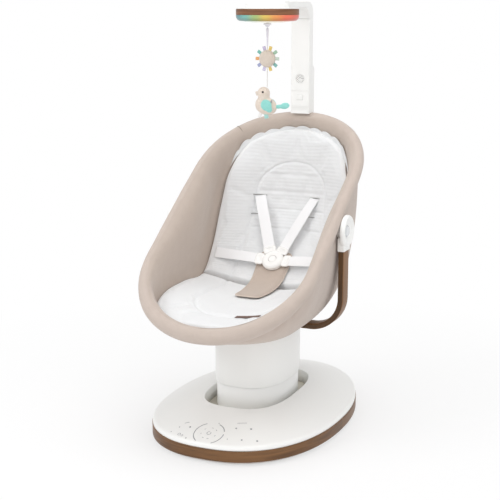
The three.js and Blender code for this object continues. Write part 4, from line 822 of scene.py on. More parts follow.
def inflate(name, top, bottom, held, cap):
    """Swell the cushion's top as cloth under pressure; returns how far each top point has moved."""
    points, faces = closed_slab(top, bottom)
    mesh = bpy.data.meshes.new(name)
    mesh.from_pydata((points * MM).tolist(), [], faces)
    obj = bpy.data.objects.new(name, mesh)
    SCENE.collection.objects.link(obj)
    faces_out(obj)
    group = obj.vertex_groups.new(name="held")
    weights = np.concatenate([held.ravel(), np.ones(held.size)])
    for value in (0.35, 0.7, 1.0):
        chosen = np.nonzero(np.abs(weights - value) < 0.01)[0]
        group.add([int(i) for i in chosen], float(value), "REPLACE")
    swell = obj.modifiers.new("Swell", "CLOTH")
    settings = swell.settings
    settings.quality, settings.mass = 6, 0.25
    settings.tension_stiffness = settings.compression_stiffness = 12
    settings.shear_stiffness, settings.bending_stiffness = 4, 0.4
    settings.shrink_min = -0.006
    settings.use_pressure, settings.uniform_pressure_force = True, 1.6
    settings.vertex_group_mass = "held"
    settings.effector_weights.gravity = 0
    swell.collision_settings.use_collision = False
    for frame in range(1, 21):
        SCENE.frame_set(frame)
    shaped = obj.evaluated_get(bpy.context.evaluated_depsgraph_get()).to_mesh()
    moved = np.empty(len(shaped.vertices) * 3)
    shaped.vertices.foreach_get("co", moved)
    moved = moved.reshape(-1, 3) / MM - points
    SCENE.frame_set(1)
    bpy.data.objects.remove(obj)
    bpy.data.meshes.remove(mesh)
    reach = np.linalg.norm(moved, axis=1)[:, None]
    moved = moved * np.minimum(1, cap / np.maximum(reach, 1e-6))
    return moved[:held.size].reshape(top.shape)


def cushion(name, node_name, t0, t1):
    t, u, s, seat, full, rim = cushion_grid(t0, t1, 6.0, 56)
    sewn = sewn_depth(s, u)
    top = cushion_surface(t, u, seat + np.maximum(full - 1.5 - sewn, 0.6))
    bottom = cushion_surface(t, u, seat - 0.2)
    held = np.where(rim < 1, 1.0, np.where(sewn > 1.6, 0.7, np.where(sewn > 0.8, 0.35, 0.0)))
    moved = inflate(name, top, bottom, held, 1.3)
    coarse = top.shape[:2]
    t, u, s, seat, full, rim = cushion_grid(t0, t1, 1.9, 132)
    rows, columns = t.shape
    down, over = (cubic_weights(n, np.linspace(0, 1, m)) for n, m in zip(coarse, (rows, columns)))
    moved = np.einsum("ri,ikc,qk->rqc", down, moved, over)
    ribs = 0.28 * np.cos(TAU * s / RIB_PITCH) * smooth_step(rim / 12)
    crease = np.array([ripple((a * 2.2, b, 3.0), 62.0, 4.1) for a, b in
                       zip((u * 165).ravel(), s.ravel())]).reshape(s.shape)
    lift = seat + np.maximum(full - sewn_depth(s, u) + ribs + 0.9 * crease * smooth_step(rim / 20), 0.5)
    top = cushion_surface(t, u, lift) + moved * smooth_step(rim / 8)[..., None]
    bottom = cushion_surface(t, u, seat - 0.2)
    points, faces = closed_slab(top, bottom)
    uv = np.stack([u * 165, s], -1).reshape(-1, 2) * MM
    pad = piece(name, points, faces, "seat", pad_fabric, np.vstack([uv, uv]),
                replaces=[node_name])
    return pad


BACK_CUSHION = cushion("back_cushion", "back_pad", 0.2535, 0.492)
SEAT_CUSHION = cushion("seat_cushion", "seat_pad", 0.035, 0.2475)


# ---------------------------------------------------------------- harness
HARNESS_X = -4.0
CROTCH_T = [station(number) for number in (4.06, 4.5, 4.95, 5.33, 5.87)]
SLOT_T, SLOT_LATERAL = station(7.24), 0.48
WAIST_T, WAIST_LATERAL = station(5.75), 0.93


def unit(v):
    v = np.asarray(v, float)
    return v / np.linalg.norm(v, axis=-1, keepdims=True)


def curve_through(points, count):
    """Even points on a smooth curve through the given points."""
    points = np.asarray(points, float)
    padded = np.vstack([2 * points[0] - points[1], points, 2 * points[-1] - points[-2]])
    out = []
    for a, b, c, d in zip(padded, padded[1:], padded[2:], padded[3:]):
        for w in np.linspace(0, 1, 24, endpoint=False):
            u, v = (c - a) / 2, (d - b) / 2
            out.append(b + u * w + (-3 * b + 3 * c - 2 * u - v) * w ** 2 + (2 * b - 2 * c + u + v) * w ** 3)
    out = np.array(out + [points[-1]])
    length = path_length(out)
    wanted = np.linspace(0, length[-1], count)
    return np.stack([np.interp(wanted, length, out[:, i]) for i in range(3)], 1)


def strap(name, points, normals, width, thickness, material, replaces=(), wave=0.5, seed=0.0):
    """Flat webbing with soft edges along a curve."""
    count = 2 + int(path_length(np.asarray(points, float))[-1] / 2.5)
    line = curve_through(points, count)
    spread = np.linspace(0, 1, len(normals))
    facing = np.stack([np.interp(np.linspace(0, 1, count), spread, np.asarray(normals)[:, i]) for i in range(3)], 1)
    along = unit(np.gradient(line, axis=0))
    across = unit(np.cross(along, facing))
    facing = unit(np.cross(across, along))
    turn = np.arange(28) * TAU / 28
    u = np.sign(np.cos(turn)) * np.abs(np.cos(turn)) ** 0.3
    h = np.sign(np.sin(turn)) * np.abs(np.sin(turn)) ** 0.6
    rings, uvs = [], []
    run = path_length(line)
    for i in range(count):
        lift = wave * ripple((run[i], 0, 0), 26.0, seed)
        tilt = wave * 0.8 * ripple((run[i], 7, 0), 34.0, seed + 3)
        seam = 0.12 * np.exp(-((np.abs(u) - 0.82) / 0.05) ** 2)
        height = h * (thickness / 2 - seam) + lift + tilt * u
        rings.append(line[i] + across[i] * (u * width / 2)[:, None] + facing[i] * height[:, None])
        uvs.append(np.stack([u * width / 2, np.full(28, run[i])], 1) * MM)
    verts, faces = loft(rings, caps=True)
    return piece(name, verts, faces, "seat", material, np.vstack(uvs), replaces=replaces)


SPINE = pad_top(CROTCH_T, 0.0, 7.1) + [HARNESS_X, 0, 0]
NECK, HEAD = SPINE[-2], SPINE[-1]
LEAN = unit(np.cross(HEAD - NECK, [-1.0, 0, 0]))
BUCKLE_UP = np.cross(LEAN, [1.0, 0, 0])
BUCKLE = (NECK + HEAD) / 2 + LEAN * 9.3


def crotch_cover():
    """Padded cover of the crotch strap: wider at the top, with a bound and stitched edge."""
    line = curve_through(SPINE, 61)
    run = path_length(line)
    along = unit(np.gradient(line, axis=0))
    facing = unit(np.cross(along, [-1.0, 0, 0]))
    v = np.linspace(0, 1, 61)
    half = 29 + 13 * v ** 0.8
    corner_low, corner_high = np.clip(run / 13, 0, 1), np.clip((run[-1] - run) / 22, 0, 1)
    half = half * (0.62 + 0.38 * np.sqrt(1 - (1 - corner_low) ** 2)) * (0.55 + 0.45 * np.sqrt(1 - (1 - corner_high) ** 2))
    columns = 41
    u = np.sin(np.linspace(-1, 1, columns) * 1.3) / math.sin(1.3)
    edge = np.minimum((1 - np.abs(u))[None, :] * half[:, None], np.minimum(run, run[-1] - run)[:, None])
    body = 3.0 * np.sqrt(1 - (1 - np.clip(edge / 5.0, 0, 1)) ** 2)
    body = body - 1.5 * np.exp(-((edge - 5.0) / 1.1) ** 2)
    fold = np.array([[0.5 * ripple((a * h, r, 0), 24.0, 8.8) for a in u] for h, r in zip(half, run)])
    at_u = line[:, None, :] + np.array([1.0, 0, 0]) * (u[None, :] * half[:, None])[..., None]
    top = at_u + facing[:, None, :] * (np.maximum(body, 0.25) + fold * smooth_step(edge / 6))[..., None]
    bottom = at_u - facing[:, None, :] * np.maximum(body * 0.8, 0.25)[..., None]
    verts, faces = closed_slab(top, bottom)
    uv = np.stack([u[None, :] * half[:, None], np.repeat(run[:, None], columns, 1)], -1).reshape(-1, 2) * MM
    cover = piece("crotch_cover", verts, faces, "seat", crotch_fabric, np.vstack([uv, uv]),
                  replaces=["crotch_pad"])
    return np.vstack([at_u[:, -1], at_u[-1, ::-1][1:], at_u[::-1, 0][1:], at_u[0, 1:-1]])


def seated(verts):
    """Points with the buckle's middle at zero and its face along Z, put in the buckle's place."""
    verts = np.asarray(verts, float)
    return BUCKLE + verts[:, :1] * [1.0, 0, 0] + verts[:, 1:2] * BUCKLE_UP + verts[:, 2:] * LEAN


def buckle():
    verts, faces = turned(rounded([(0, -6), (26, -6), (26, 2.4), (21, 6), (9.6, 6.2), (9.6, -2.8), (0, -2.8)], 1.6), 96)
    piece("buckle_shell", seated(verts), faces, "seat", plastic_gloss, replaces=["buckle_body"])
    verts, faces = turned(rounded([(0, 0.1), (9.0, 0.1), (9.0, 5.4), (7.4, 6.1), (0, 6.5)], 0.8), 64)
    piece("buckle_press_cap", seated(verts), faces, "buckle_release", plastic_gloss,
          replaces=["buckle_button"])


def tongue(name, centre, towards, width, length):
    """Flat plastic end of a strap where it enters the buckle."""
    towards = unit(towards)
    across = unit(np.cross(towards, LEAN))
    facing = np.cross(across, towards)
    outline = even(superellipse(width / 2, length / 2, 5, 96), 64)
    rings = [np.column_stack([outline * s, np.full(64, z)]) for s, z in
             ((0.9, -1.9), (1, -1.2), (1, 1.4), (0.9, 2.2), (0.55, 2.3), (0.5, 1.6), (0.02, 1.6))]
    verts, faces = loft(rings)
    verts = centre + verts[:, :1] * across + verts[:, 1:2] * towards + verts[:, 2:] * facing
    faces.append(tuple(range(64)))
    piece(name, verts, faces, "seat", plastic_gloss)


SLOT_PLACES = {"left": (-0.55, -0.52), "right": (0.4, 0.34)}
SLOT_STATIONS = (7.26, 6.74)


def slots():
    """Two rows of hemmed slots that the shoulder straps can go through; a dark strip in each is painted shadow inside
    the slit.
    """
    for side, places in SLOT_PLACES.items():
        for row, (lateral, number) in enumerate(zip(places, SLOT_STATIONS)):
            across = lateral + np.linspace(-0.1, 0.1, 7)
            line = pad_top(station(number), across, 1.15)
            facing = bed_normal(station(number), across)
            # Painted shadow: a thin dark strip where the slit opens under its hem.
            strap(f"slot_{side}_{row}", line, facing, 1.5, 1.2, slot_shadow_fabric, wave=0.0)
            hem = pad_top(station(number) + 0.0022, across, 0.7)
            strap(f"slot_hem_{side}_{row}", hem, facing, 3.2, 1.5, pad_fabric, wave=0.0)


def seat_label():
    """Small bare label that lies on the seat pad in front of the crotch strap."""
    across = np.linspace(0.23, 0.6, 9)
    strap("seat_label", pad_top(0.118, across, 1.6), bed_normal(0.118, across), 13, 1.3, tag_fabric, wave=0.15)


def straps():
    for side, sign in (("left", -1), ("right", 1)):
        lateral = SLOT_PLACES[side][0]
        top = pad_top(SLOT_T, lateral, 2.0)[0]
        top_facing = bed_normal(SLOT_T, lateral)[0]
        low = BUCKLE + BUCKLE_UP * 23.3 + [sign * 14.0, 0, 0]
        line = [top, top + (low - top) * 0.3 + LEAN * 1.5, top + (low - top) * 0.7 + LEAN * 1.2, low]
        strap(f"shoulder_webbing_{side}", line, [top_facing, LEAN, LEAN], 26, 1.6, webbing,
              [f"shoulder_strap_{side}"], seed=2.0 * sign)
        tongue(f"shoulder_tongue_{side}", low + unit(top - low) * 5, top - low, 30, 17)
        outer = pad_top(WAIST_T, sign * WAIST_LATERAL, 2.6)[0]
        outer_facing = bed_normal(WAIST_T, sign * WAIST_LATERAL)[0]
        clip = BUCKLE + [sign * 26.3, 0, 0]
        middle = (outer + clip) / 2 + LEAN * 2
        strap(f"waist_webbing_{side}", [outer, middle, clip], [outer_facing, (outer_facing + LEAN) / 2, LEAN], 26, 1.6,
              webbing, [f"waist_strap_{side}"], seed=5.0 * sign)
        tongue(f"waist_tongue_{side}", clip + unit(middle - clip) * 7, middle - clip, 31, 20)


CROTCH_EDGE = crotch_cover()
buckle()
slots()
seat_label()
straps()


# ---------------------------------------------------------------- base
def egg(inset, sides=240):
    angle = np.arange(sides) * TAU / sides
    c, s = np.cos(angle), np.sin(angle)
    power = np.where(s < 0, 2 / 2.35, 1.0)
    reach = np.where(s < 0, 294.0, 328.0) - inset
    return np.stack([(209 - inset) * np.sign(c) * np.abs(c) ** power, reach * np.sign(s) * np.abs(s) ** power], 1)


def slot_edge(outset, sides=240):
    return superellipse(95 + outset, 155 + outset, 2.9, sides, -2.0)


def column_edge(inset, sides=160):
    return superellipse(84 - inset, 120 - inset, 2.5, sides)


def perimeter_uv(ring, z):
    length = path_length(np.vstack([ring, ring[:1]])[:, :2])[:-1]
    return np.stack([length, np.full(len(ring), z)], 1) * MM


def base_shell():
    shoulder = [(1, 33.8), (1, 36.5), (1.5, 39.4), (3.0, 42.0), (5.6, 44.0), (8.3, 45.1), (11, 45.9)]
    rings = [at_height(egg(inset), z) for inset, z in shoulder]
    rim, lip = egg(11), slot_edge(5)
    for d in np.linspace(0.06, 1, 20):
        rings.append(at_height(rim + (lip - rim) * d, 45.9 + 31.1 * (1 - (1 - d) ** 1.35)))
    for outset, z in ((3.4, 77.5), (2.2, 77.9), (1.2, 77.8), (0.5, 77.3), (0.1, 76.4), (0, 75.4), (-0.6, 66), (-2, 50)):
        rings.append(at_height(slot_edge(outset), z))
    rings.append(at_height(slot_edge(0.6), 50))
    rings.append(at_height(slot_edge(2.6), 74.4))
    for d in (0.8, 0.5, 0.2):
        rings.append(at_height(rim + (lip - rim) * d, 43.3 + 31.1 * (1 - (1 - d) ** 1.35)))
    rings += [at_height(egg(11), 43.2), at_height(egg(5), 40.5), at_height(egg(3.6), 33.8)]
    verts, faces = loft(rings, closed=True)
    piece("base_shell", verts, faces, "base", plastic_white, replaces=["base_top_shell"])


def base_band():
    section = [(6, 8.3), (1.2, 8.3), (0.35, 8.7), (0, 9.6), (0, 15), (0, 21), (0, 27), (0, 32.2), (0.35, 33),
               (1.2, 33.4), (6, 33.4), (6, 21)]
    rings = [at_height(egg(inset, 320), z) for inset, z in section]
    verts, faces = loft(rings, closed=True)
    uvs = [perimeter_uv(egg(0, 320), z + 40 * inset / 6) for inset, z in section]
    piece("wood_band", verts, faces, "base", wood_band, np.vstack(uvs), replaces=["base_wood_band"])
    section = [(12, 3), (7.8, 3), (7.2, 3.4), (7, 4.2), (7, 7), (7.3, 7.7), (8, 8), (12, 8)]
    rings = [at_height(egg(inset), z) for inset, z in section]
    verts, faces = loft(rings)
    faces.append(tuple(range(240)))
    faces.append(tuple(range(7 * 240, 8 * 240)))
    piece("base_plate", verts, faces, "base", plastic_inner, replaces=["base_bottom_plate"])


# ---------------------------------------------------------------- column and swivel head
def column():
    foot = [(5.2, 52.3), (3.6, 52.3), (3.5, 53), (3.5, 150), (6.5, 150), (6.5, 60)]
    verts, faces = loft([at_height(column_edge(inset), z) for inset, z in foot], closed=True)
    piece("column_collar", verts, faces, "carriage", plastic_white, replaces=["column_foot"])
    sleeve = [(3, 111), (0.9, 111), (0.25, 111.3), (0, 112.1), (0, 160), (0, 214.4), (0.3, 216), (1.2, 217.4), (2.8, 218),
              (8, 218)]
    rings = [at_height(column_edge(inset), z) for inset, z in sleeve]
    rings += [at_height(superellipse(radius, radius, 2, 160), z) for radius, z in ((60, 218), (30, 218), (30, 214))]
    rings += [at_height(column_edge(3), 214), at_height(column_edge(3), 150)]
    verts, faces = loft(rings, closed=True)
    piece("column_shell", verts, faces, "sleeve", plastic_white, replaces=["column_sleeve"])
    neck = [(0, 206.3), (20, 206.3), (20, 218.3), (67, 218.3), (68.6, 218.7), (69.5, 219.8), (70, 221.5), (70, 240.2),
            (69.4, 242), (68, 243.1), (66, 243.5), (0, 243.5)]
    verts, faces = turned(neck, 160)
    piece("swivel_neck", verts, faces, "turntable", plastic_white, replaces=["swivel_head"])


base_shell()
base_band()
column()


# ---------------------------------------------------------------- fork and hubs
def rounded_box_section(half_a, half_b, radius, steps=5):
    """Closed section of a rectangle with round corners, as (a, b) pairs."""
    out = []
    for sa, sb, start in ((1, 1, 0), (-1, 1, 90), (-1, -1, 180), (1, -1, 270)):
        for i in range(steps + 1):
            angle = math.radians(start + 90 * i / steps)
            out.append((sa * (half_a - radius) + radius * math.cos(angle), sb * (half_b - radius) + radius * math.sin(angle)))
    return np.array(out)


def yoke_arm(side, sign):
    path = [(50 + 82 * w, 238.0, 0.0) for w in np.linspace(0, 1, 14, endpoint=False)]
    path += [(132 + 69 * math.sin(a), 307 - 69 * math.cos(a), a) for a in np.linspace(0, math.pi / 2, 40)]
    path += [(201.0, 307 + 125 * w, math.pi / 2) for w in np.linspace(0.04, 1, 20)]
    section = rounded_box_section(6, 17.5, 1.8)
    rings, uvs = [], []
    length = path_length(np.array([(x, z) for x, z, _ in path]))
    round_length = path_length(np.vstack([section, section[:1]]))[:-1]
    for run, (x, z, angle) in zip(length, path):
        out = np.array([math.sin(angle), 0, -math.cos(angle)])
        ring = np.array([x, 0, z]) + section[:, :1] * out + section[:, 1:] * [0, 1.0, 0]
        rings.append(ring * [sign, 1, 1])
        uvs.append(np.stack([np.full(len(section), run), round_length + 300], 1) * MM)
    verts, faces = loft(rings, caps=True)
    arm = piece(f"fork_arm_{side}", verts, faces, "turntable", wood_arm, np.vstack(uvs),
                replaces=[f"yoke_arm_{side}"])
    arm.data.materials.append(wood_arm_shaded_front)
    # Painted shade: faces that look forward or back get the darker copy of the wood, and the sides get the lighter one.
    for polygon in arm.data.polygons:
        polygon.material_index = 1 if abs(polygon.normal.y) > 0.75 else 0


def turned_across(profile, sign, sides=128):
    """Profile of (radius, x) turned about the recline axis on one side."""
    angles = np.arange(sides) * TAU / sides
    return [np.stack([np.full(sides, sign * x), r * np.cos(angles), 456 + r * np.sin(angles)], 1) for r, x in profile]


def hub(side, sign):
    profile = rounded([(18, 191), (18, 203.5), (35, 203.5), (35, 209.6), (32.4, 213.4), (30.2, 214), (28, 213.6),
                       (21, 209.4), (12.5, 208.2), (12.4, 200.6), (8.4, 200.5)], 1.2)
    profile = [(8.4, 191)] + profile
    verts, faces = loft(turned_across(profile, sign), closed=True)
    piece(f"hub_shell_{side}", verts, faces, "turntable", plastic_white,
          replaces=[f"hub_housing_{side}"])
    section = rounded_box_section(8.2, 19.6, 3.0)
    rings = [np.column_stack([sign * (201 + section[:, 0] * s), section[:, 1] * (1 - (1 - s) * 0.42), np.full(len(section), z)])
             for s, z in ((0.8, 412.8), (0.95, 413.2), (1, 414.4), (1, 438), (0.97, 442), (0.8, 443.6))]
    verts, faces = loft(rings, caps=True)
    piece(f"hub_socket_{side}", verts, faces, "turntable", plastic_white)
    profile = rounded([(0.01, 204.4), (11.9, 204.4), (11.9, 209.6), (9.4, 211.4), (0.01, 212)], 1.2)
    verts, faces = loft(turned_across(profile, sign, 96), closed=False)
    piece(f"hub_cap_{side}", verts, faces, f"{side}_hub_button", plastic_silver,
          replaces=[f"hub_button_{side}"])


for side, sign in (("left", -1), ("right", 1)):
    yoke_arm(side, sign)
    hub(side, sign)


# ---------------------------------------------------------------- toy arm
def prism(name, outline, low, high, axis, body, material, replaces=(), edge=0.0):
    """Outline pulled along an axis: outline pairs are (y, z) for axis x and (x, z) for axis y."""
    outline = np.asarray(outline, float)
    count = len(outline)
    verts = [np.insert(p, "xyz".index(axis), value) for value in (low, high) for p in outline]
    faces = [tuple(range(count)), tuple(range(count, 2 * count))]
    faces += [(k, (k + 1) % count, (k + 1) % count + count, k + count) for k in range(count)]
    obj = piece(name, verts, faces, body, material, replaces=replaces)
    return bevel(obj, edge, 4) if edge else obj


def carve(obj, cutters):
    """Takes the cutters' space out of a piece."""
    apply_modifiers(obj)
    for cutter in cutters:
        mod = obj.modifiers.new("carve", "BOOLEAN")
        mod.object, mod.operation, mod.solver = cutter, "DIFFERENCE", "EXACT"
    apply_modifiers(obj)
    for cutter in cutters:
        bpy.data.objects.remove(cutter)


def cutter(verts, faces):
    mesh = bpy.data.meshes.new("cutter")
    spots = np.asarray(verts, float).copy()
    spots[:, 1] += PLACE_Y
    mesh.from_pydata((spots * MM).tolist(), [], faces)
    obj = bpy.data.objects.new("cutter", mesh)
    SCENE.collection.objects.link(obj)
    faces_out(obj)
    return obj


def block(x0, x1, y0, y1, z0, z1):
    verts = [(x, y, z) for z in (z0, z1) for x, y in ((x0, y0), (x1, y0), (x1, y1), (x0, y1))]
    return verts, [(3, 2, 1, 0), (4, 5, 6, 7), (0, 1, 5, 4), (1, 2, 6, 5), (2, 3, 7, 6), (3, 0, 4, 7)]


def drum(x, y, z, radius, length, sides=64, axis="y"):
    """Cylinder from (x, y, z) along Y or Z."""
    angles = np.arange(sides) * TAU / sides
    c, s = radius * np.cos(angles), radius * np.sin(angles)
    rings = [np.stack([x + c, np.full(sides, y + d), z + s], 1) if axis == "y"
             else np.stack([x + c, y + s, np.full(sides, z + d)], 1) for d in (0, length)]
    return loft(rings, caps=True)


def toy_arm():
    bend = [(237 + 30 * math.cos(a), 911 + 30 * math.sin(a)) for a in np.linspace(math.pi / 2, 0, 16)]
    under = [(243 - 25.7 + 25.7 * math.cos(a), 900.3 + 25.7 * math.sin(a)) for a in np.linspace(0, math.pi / 2, 14)]
    profile = [(250.3, 680), (250.3, 900.2), (243, 900.2)] + under[1:]
    profile += [(90, 926), (90, 941)] + bend + [(267, 797), (268.2, 793.5), (276.6, 788.5), (278, 785), (278, 680)]
    prism("arm_spine", profile, -23.5, 23.5, "x", "seat", plastic_white, ["arm_rear_housing"], 2.6)
    corner = [(20.3 + 3.2 * math.cos(a), 246.2 - 3.2 * math.sin(a)) for a in np.linspace(0, math.pi / 2, 8)]
    front = np.array([(23.5, 250.2)] + corner + [(-x, y) for x, y in corner[::-1]] + [(-23.5, 250.2)])
    rings = [at_height(front, z) for z in np.linspace(680, 900, 12)]
    verts, faces = loft(rings, caps=True)
    face = piece("arm_face", verts, faces, "seat", plastic_white, replaces=["arm_front_shell"])
    grooves = [cutter(*block(-30, 30, 238, 244.5, z, z + h)) for z, h in ((732.6, 1.5), (689, 1.4), (693, 1.4), (697, 1.4))]
    wells = [cutter(*drum(0, 236, 762, 11.2, 9.0)), cutter(*block(-7.15, 7.15, 236, 245.2, 711.85, 724.15))]
    carve(face, grooves + wells)
    face.data.set_sharp_from_angle(angle=math.radians(35))
    ring_profile = [(10.5, 0.4), (10.5, 5), (0.01, 5), (0.01, 1.3), (5, 1.2), (9, 0.9), (10, 0.3)]
    angles = np.arange(64) * TAU / 64
    rings = [np.stack([r * np.cos(angles), np.full(64, 243 + d), 762 + r * np.sin(angles)], 1) for r, d in ring_profile]
    verts, faces = loft(rings, closed=True)
    piece("grille", verts, faces, "seat", plastic_white, replaces=["speaker_grille"])
    verts, faces = [], []
    for radius, count in ((0, 1), (3.2, 6), (6.4, 11), (9.0, 16)):
        for turn in np.arange(count) * TAU / count:
            hole, skin_faces = drum(radius * math.cos(turn), 243.55 + 0.09 * (9 - radius), 762 + radius * math.sin(turn), 0.7, 0.5, 10)
            skin_faces = [tuple(k + len(verts) for k in f) for f in skin_faces]
            verts, faces = list(verts) + [tuple(p) for p in hole], faces + skin_faces
    # Painted shade: each perforation is a small dark plug that stands for the shade inside the hole.
    piece("grille_holes", verts, faces, "seat", plastic_dark)
    key = rounded_box_section(6.9, 5.9, 1.6, 5)
    rings = [np.column_stack([key[:, 0] * s, np.full(len(key), y), 718 + key[:, 1] * s]) for y, s in
             ((247, 1), (243, 1), (242.3, 0.975), (242.05, 0.9), (242, 0.5))]
    verts, faces = loft(rings, caps=True)
    piece("release_key", verts, faces, "arm_release", plastic_white, replaces=["arm_release_button"])


DISC_Y = 47.0


def head():
    def on_disc(profile, sides=192):
        verts, faces = turned(profile, sides)
        return verts + [0, DISC_Y, 0], faces
    cover = rounded([(0.01, 924.2), (68.4, 924.2), (69, 924.6), (69, 925.6), (68.4, 926.2), (47.4, 926.2), (46.8, 935), (44, 937), (0.01, 937.2)], 1.2)
    verts, faces = on_disc(cover)
    piece("disc_cover", verts, faces, "seat", plastic_white, replaces=["head_top_cover"])
    profile = rounded([(65, 911.3), (68.9, 911.3), (68.9, 923.9), (65, 923.9)], 0.6) + [(65, 917), (65, 911.3)]
    angles = np.arange(192) * TAU / 192
    verts, faces = on_disc(profile)
    uvs = [np.stack([angles * 69, np.full(192, z + 3 * r)], 1) * MM for r, z in profile]
    piece("disc_wood", verts, faces, "seat", wood_disc, np.vstack(uvs), replaces=["head_wood_band"])
    profile = [(65, 911), (68.9, 911), (68.9, 909.4), (68.6, 906.6), (67.8, 904), (66.4, 901.6), (64.2, 899.7), (61.4, 898.5),
               (58, 898.1), (53.8, 898), (53.8, 901), (60, 904), (65, 908), (65, 911)]
    verts, faces = on_disc(profile[:-1])
    faces += [(12 * 192 + k, 12 * 192 + (k + 1) % 192, (k + 1) % 192, k) for k in range(192)]
    piece("rainbow_ring", verts, faces, "seat", rainbow_light, replaces=["light_ring"])
    cap = rounded([(3.4, 901), (3.4, 894.4), (30, 894.7), (48, 896.4), (53.5, 898.2), (53.5, 901)], 1.5) + [(3.4, 901)]
    verts, faces = on_disc(cap)
    piece("disc_cap", verts, faces, "seat", cap_glow, replaces=["head_bottom_cap"])
    knob = rounded([(0.01, 885), (3.4, 885), (4.6, 888.6), (8.4, 890.2), (8.7, 892.2), (7.6, 893.7), (3, 893.7), (3, 902.7), (0.01, 902.7)], 0.9)
    verts, faces = on_disc(knob, 96)
    piece("turning_knob", verts, faces, "hanger", plastic_grey, replaces=["hanger_knob"])


toy_arm()
head()


# ---------------------------------------------------------------- hanging toys
def ball(centre, radii, turn=0.0, rings=24, sides=36):
    """Ellipsoid, turned about Y by an angle."""
    lat = np.linspace(-math.pi / 2, math.pi / 2, rings + 1)
    lon = np.arange(sides) * TAU / sides
    c, s = math.cos(turn), math.sin(turn)
    out = []
    for a in lat:
        flat = max(math.cos(a), 1e-3)
        x, y = radii[0] * flat * np.cos(lon), radii[1] * flat * np.sin(lon)
        z = np.full(sides, radii[2] * math.sin(a))
        out.append(np.stack([centre[0] + c * x + s * z, centre[1] + y, centre[2] - s * x + c * z], 1))
    return loft(out)


def merged(parts):
    verts, faces = [], []
    for points, skin in parts:
        faces += [tuple(k + len(verts) for k in face) for face in skin]
        verts += [tuple(p) for p in points]
    return verts, faces


def plush(name, parts, body, material, replaces, voxel=1.1, rounds=5):
    """Shapes grown together into one soft stuffed form."""
    verts, faces = merged(parts)
    toy = piece(name, verts, faces, body, material, replaces=replaces)
    remesh = toy.modifiers.new("grow", "REMESH")
    remesh.mode, remesh.voxel_size, remesh.use_smooth_shade = "VOXEL", voxel * MM, True
    smooth = toy.modifiers.new("soft", "SMOOTH")
    smooth.factor, smooth.iterations = 0.7, rounds
    apply_modifiers(toy)
    faces_out(toy)
    return toy


def ribbon_tab(name, centre, angle, length, width, body, material, thickness=1.7):
    """Folded ribbon that stands out at an angle in the XZ plane, with a rounded fold at its end."""
    along = np.array([math.cos(angle), 0, math.sin(angle)])
    across = np.array([-math.sin(angle), 0, math.cos(angle)])
    section = rounded_box_section(width / 2, thickness / 2, thickness * 0.45, 4)
    rings = []
    for share, grow, thin in ((0, 1, 0.8), (0.3, 1, 0.85), (0.6, 1.02, 1.0), (0.85, 1.03, 1.25), (0.95, 1.0, 1.15), (1, 0.93, 0.7)):
        rings.append(np.asarray(centre) + along * length * share + section[:, :1] * across * grow
                     + section[:, 1:] * [0, 1.0, 0] * thin)
    verts, faces = loft(rings, caps=True)
    return piece(name, verts, faces, body, material)


def ribbon_cloth(name, r, g, b):
    return cloth(name, srgb(r, g, b), srgb(int(r * 0.9), int(g * 0.9), int(b * 0.9)), threads=1300.0, uv=False)


def sun():
    centre = (0, DISC_Y, 817)
    outline = [(19 * math.cos(a) ** 0.72, 10.5 * math.sin(a)) for a in np.linspace(-math.pi / 2 + 1e-3, math.pi / 2 - 1e-3, 33)]
    verts, faces = turned(outline, 72)
    verts = np.column_stack([verts[:, 0], verts[:, 2], verts[:, 1]])
    seam = 1 + 0.012 * np.array([ripple(p, 9.0, 3.3) for p in verts])
    verts = verts * seam[:, None] + centre
    disc = piece("sun_plush", verts, faces, "sun_toy", sun_pile, replaces=["sun"])
    sage, yellow, pale = (168, 200, 176), (236, 208, 128), (206, 220, 208)
    colours = [pale, sage, yellow, (206, 196, 222), (132, 196, 184), (240, 178, 124), (176, 182, 216), (214, 208, 232),
               yellow, (140, 190, 184)]
    for i, colour in enumerate(colours):
        angle = math.radians(36 * i)
        start = np.array(centre) + 16.5 * np.array([math.cos(angle), 0, math.sin(angle)])
        ribbon_tab(f"sun_tab_{i}", start, angle, 11.5, 7.2, "sun_toy", ribbon_cloth(f"ribbon_{i}", *colour))


def bird():
    y = DISC_Y
    forms = [ball((-2, y, 713), (25, 14.5, 19.5), math.radians(12)), ball((-12, y, 716), (16, 13.5, 18)),
             ball((-8, y, 731), (13.5, 12, 14)), ball((-8.6, y, 741), (14.4, 13, 14.4))]
    plush("bird_plush", forms + [ball((-23.5, y, 742), (5.6, 3.4, 3.4), math.radians(8)), ball((-22.5, y, 737.4), (4.6, 3.0, 2.8))],
          "bird_toy", bird_pile, ["bird_body", "bird_head"])
    plush("bird_tail_plush", [ball((29, y, 713), (13, 3.2, 4.6), math.radians(-6)),
                              ball((42, y, 715), (12, 3.0, 7.2), math.radians(-12))], "bird_toy", mint_pile, ["bird_tail"])
    for side, sign in (("front", -1), ("back", 1)):
        plush(f"bird_wing_{side}", [ball((3, y + sign * 13.0, 716), (13.5, 3.4, 12.5), math.radians(28)),
                                    ball((9, y + sign * 12.0, 708), (8.5, 3.0, 7.5), math.radians(40))],
              "bird_toy", mint_pile, (), 0.9, 3)
        verts, faces = ball((-5.4, y + sign * 12.6, 744.6), (2.3, 1.3, 2.3), 0, 12, 20)
        piece(f"bird_eye_{side}", verts, faces, "bird_toy", eye_gloss)
    ribbon_tab("bird_tab_white", (-12, y - 5, 699), math.radians(-118), 12, 7.5, "bird_toy", ribbon_cloth("ribbon_white", 244, 242, 240))
    ribbon_tab("bird_tab_mint", (-1, y - 5, 698), math.radians(-80), 12, 9.5, "bird_toy", ribbon_cloth("ribbon_mint", 176, 222, 216))
    ribbon_tab("bird_loop", (13, y - 11, 722), math.radians(60), 6, 4.0, "bird_toy", ribbon_cloth("ribbon_grey", 170, 168, 168))


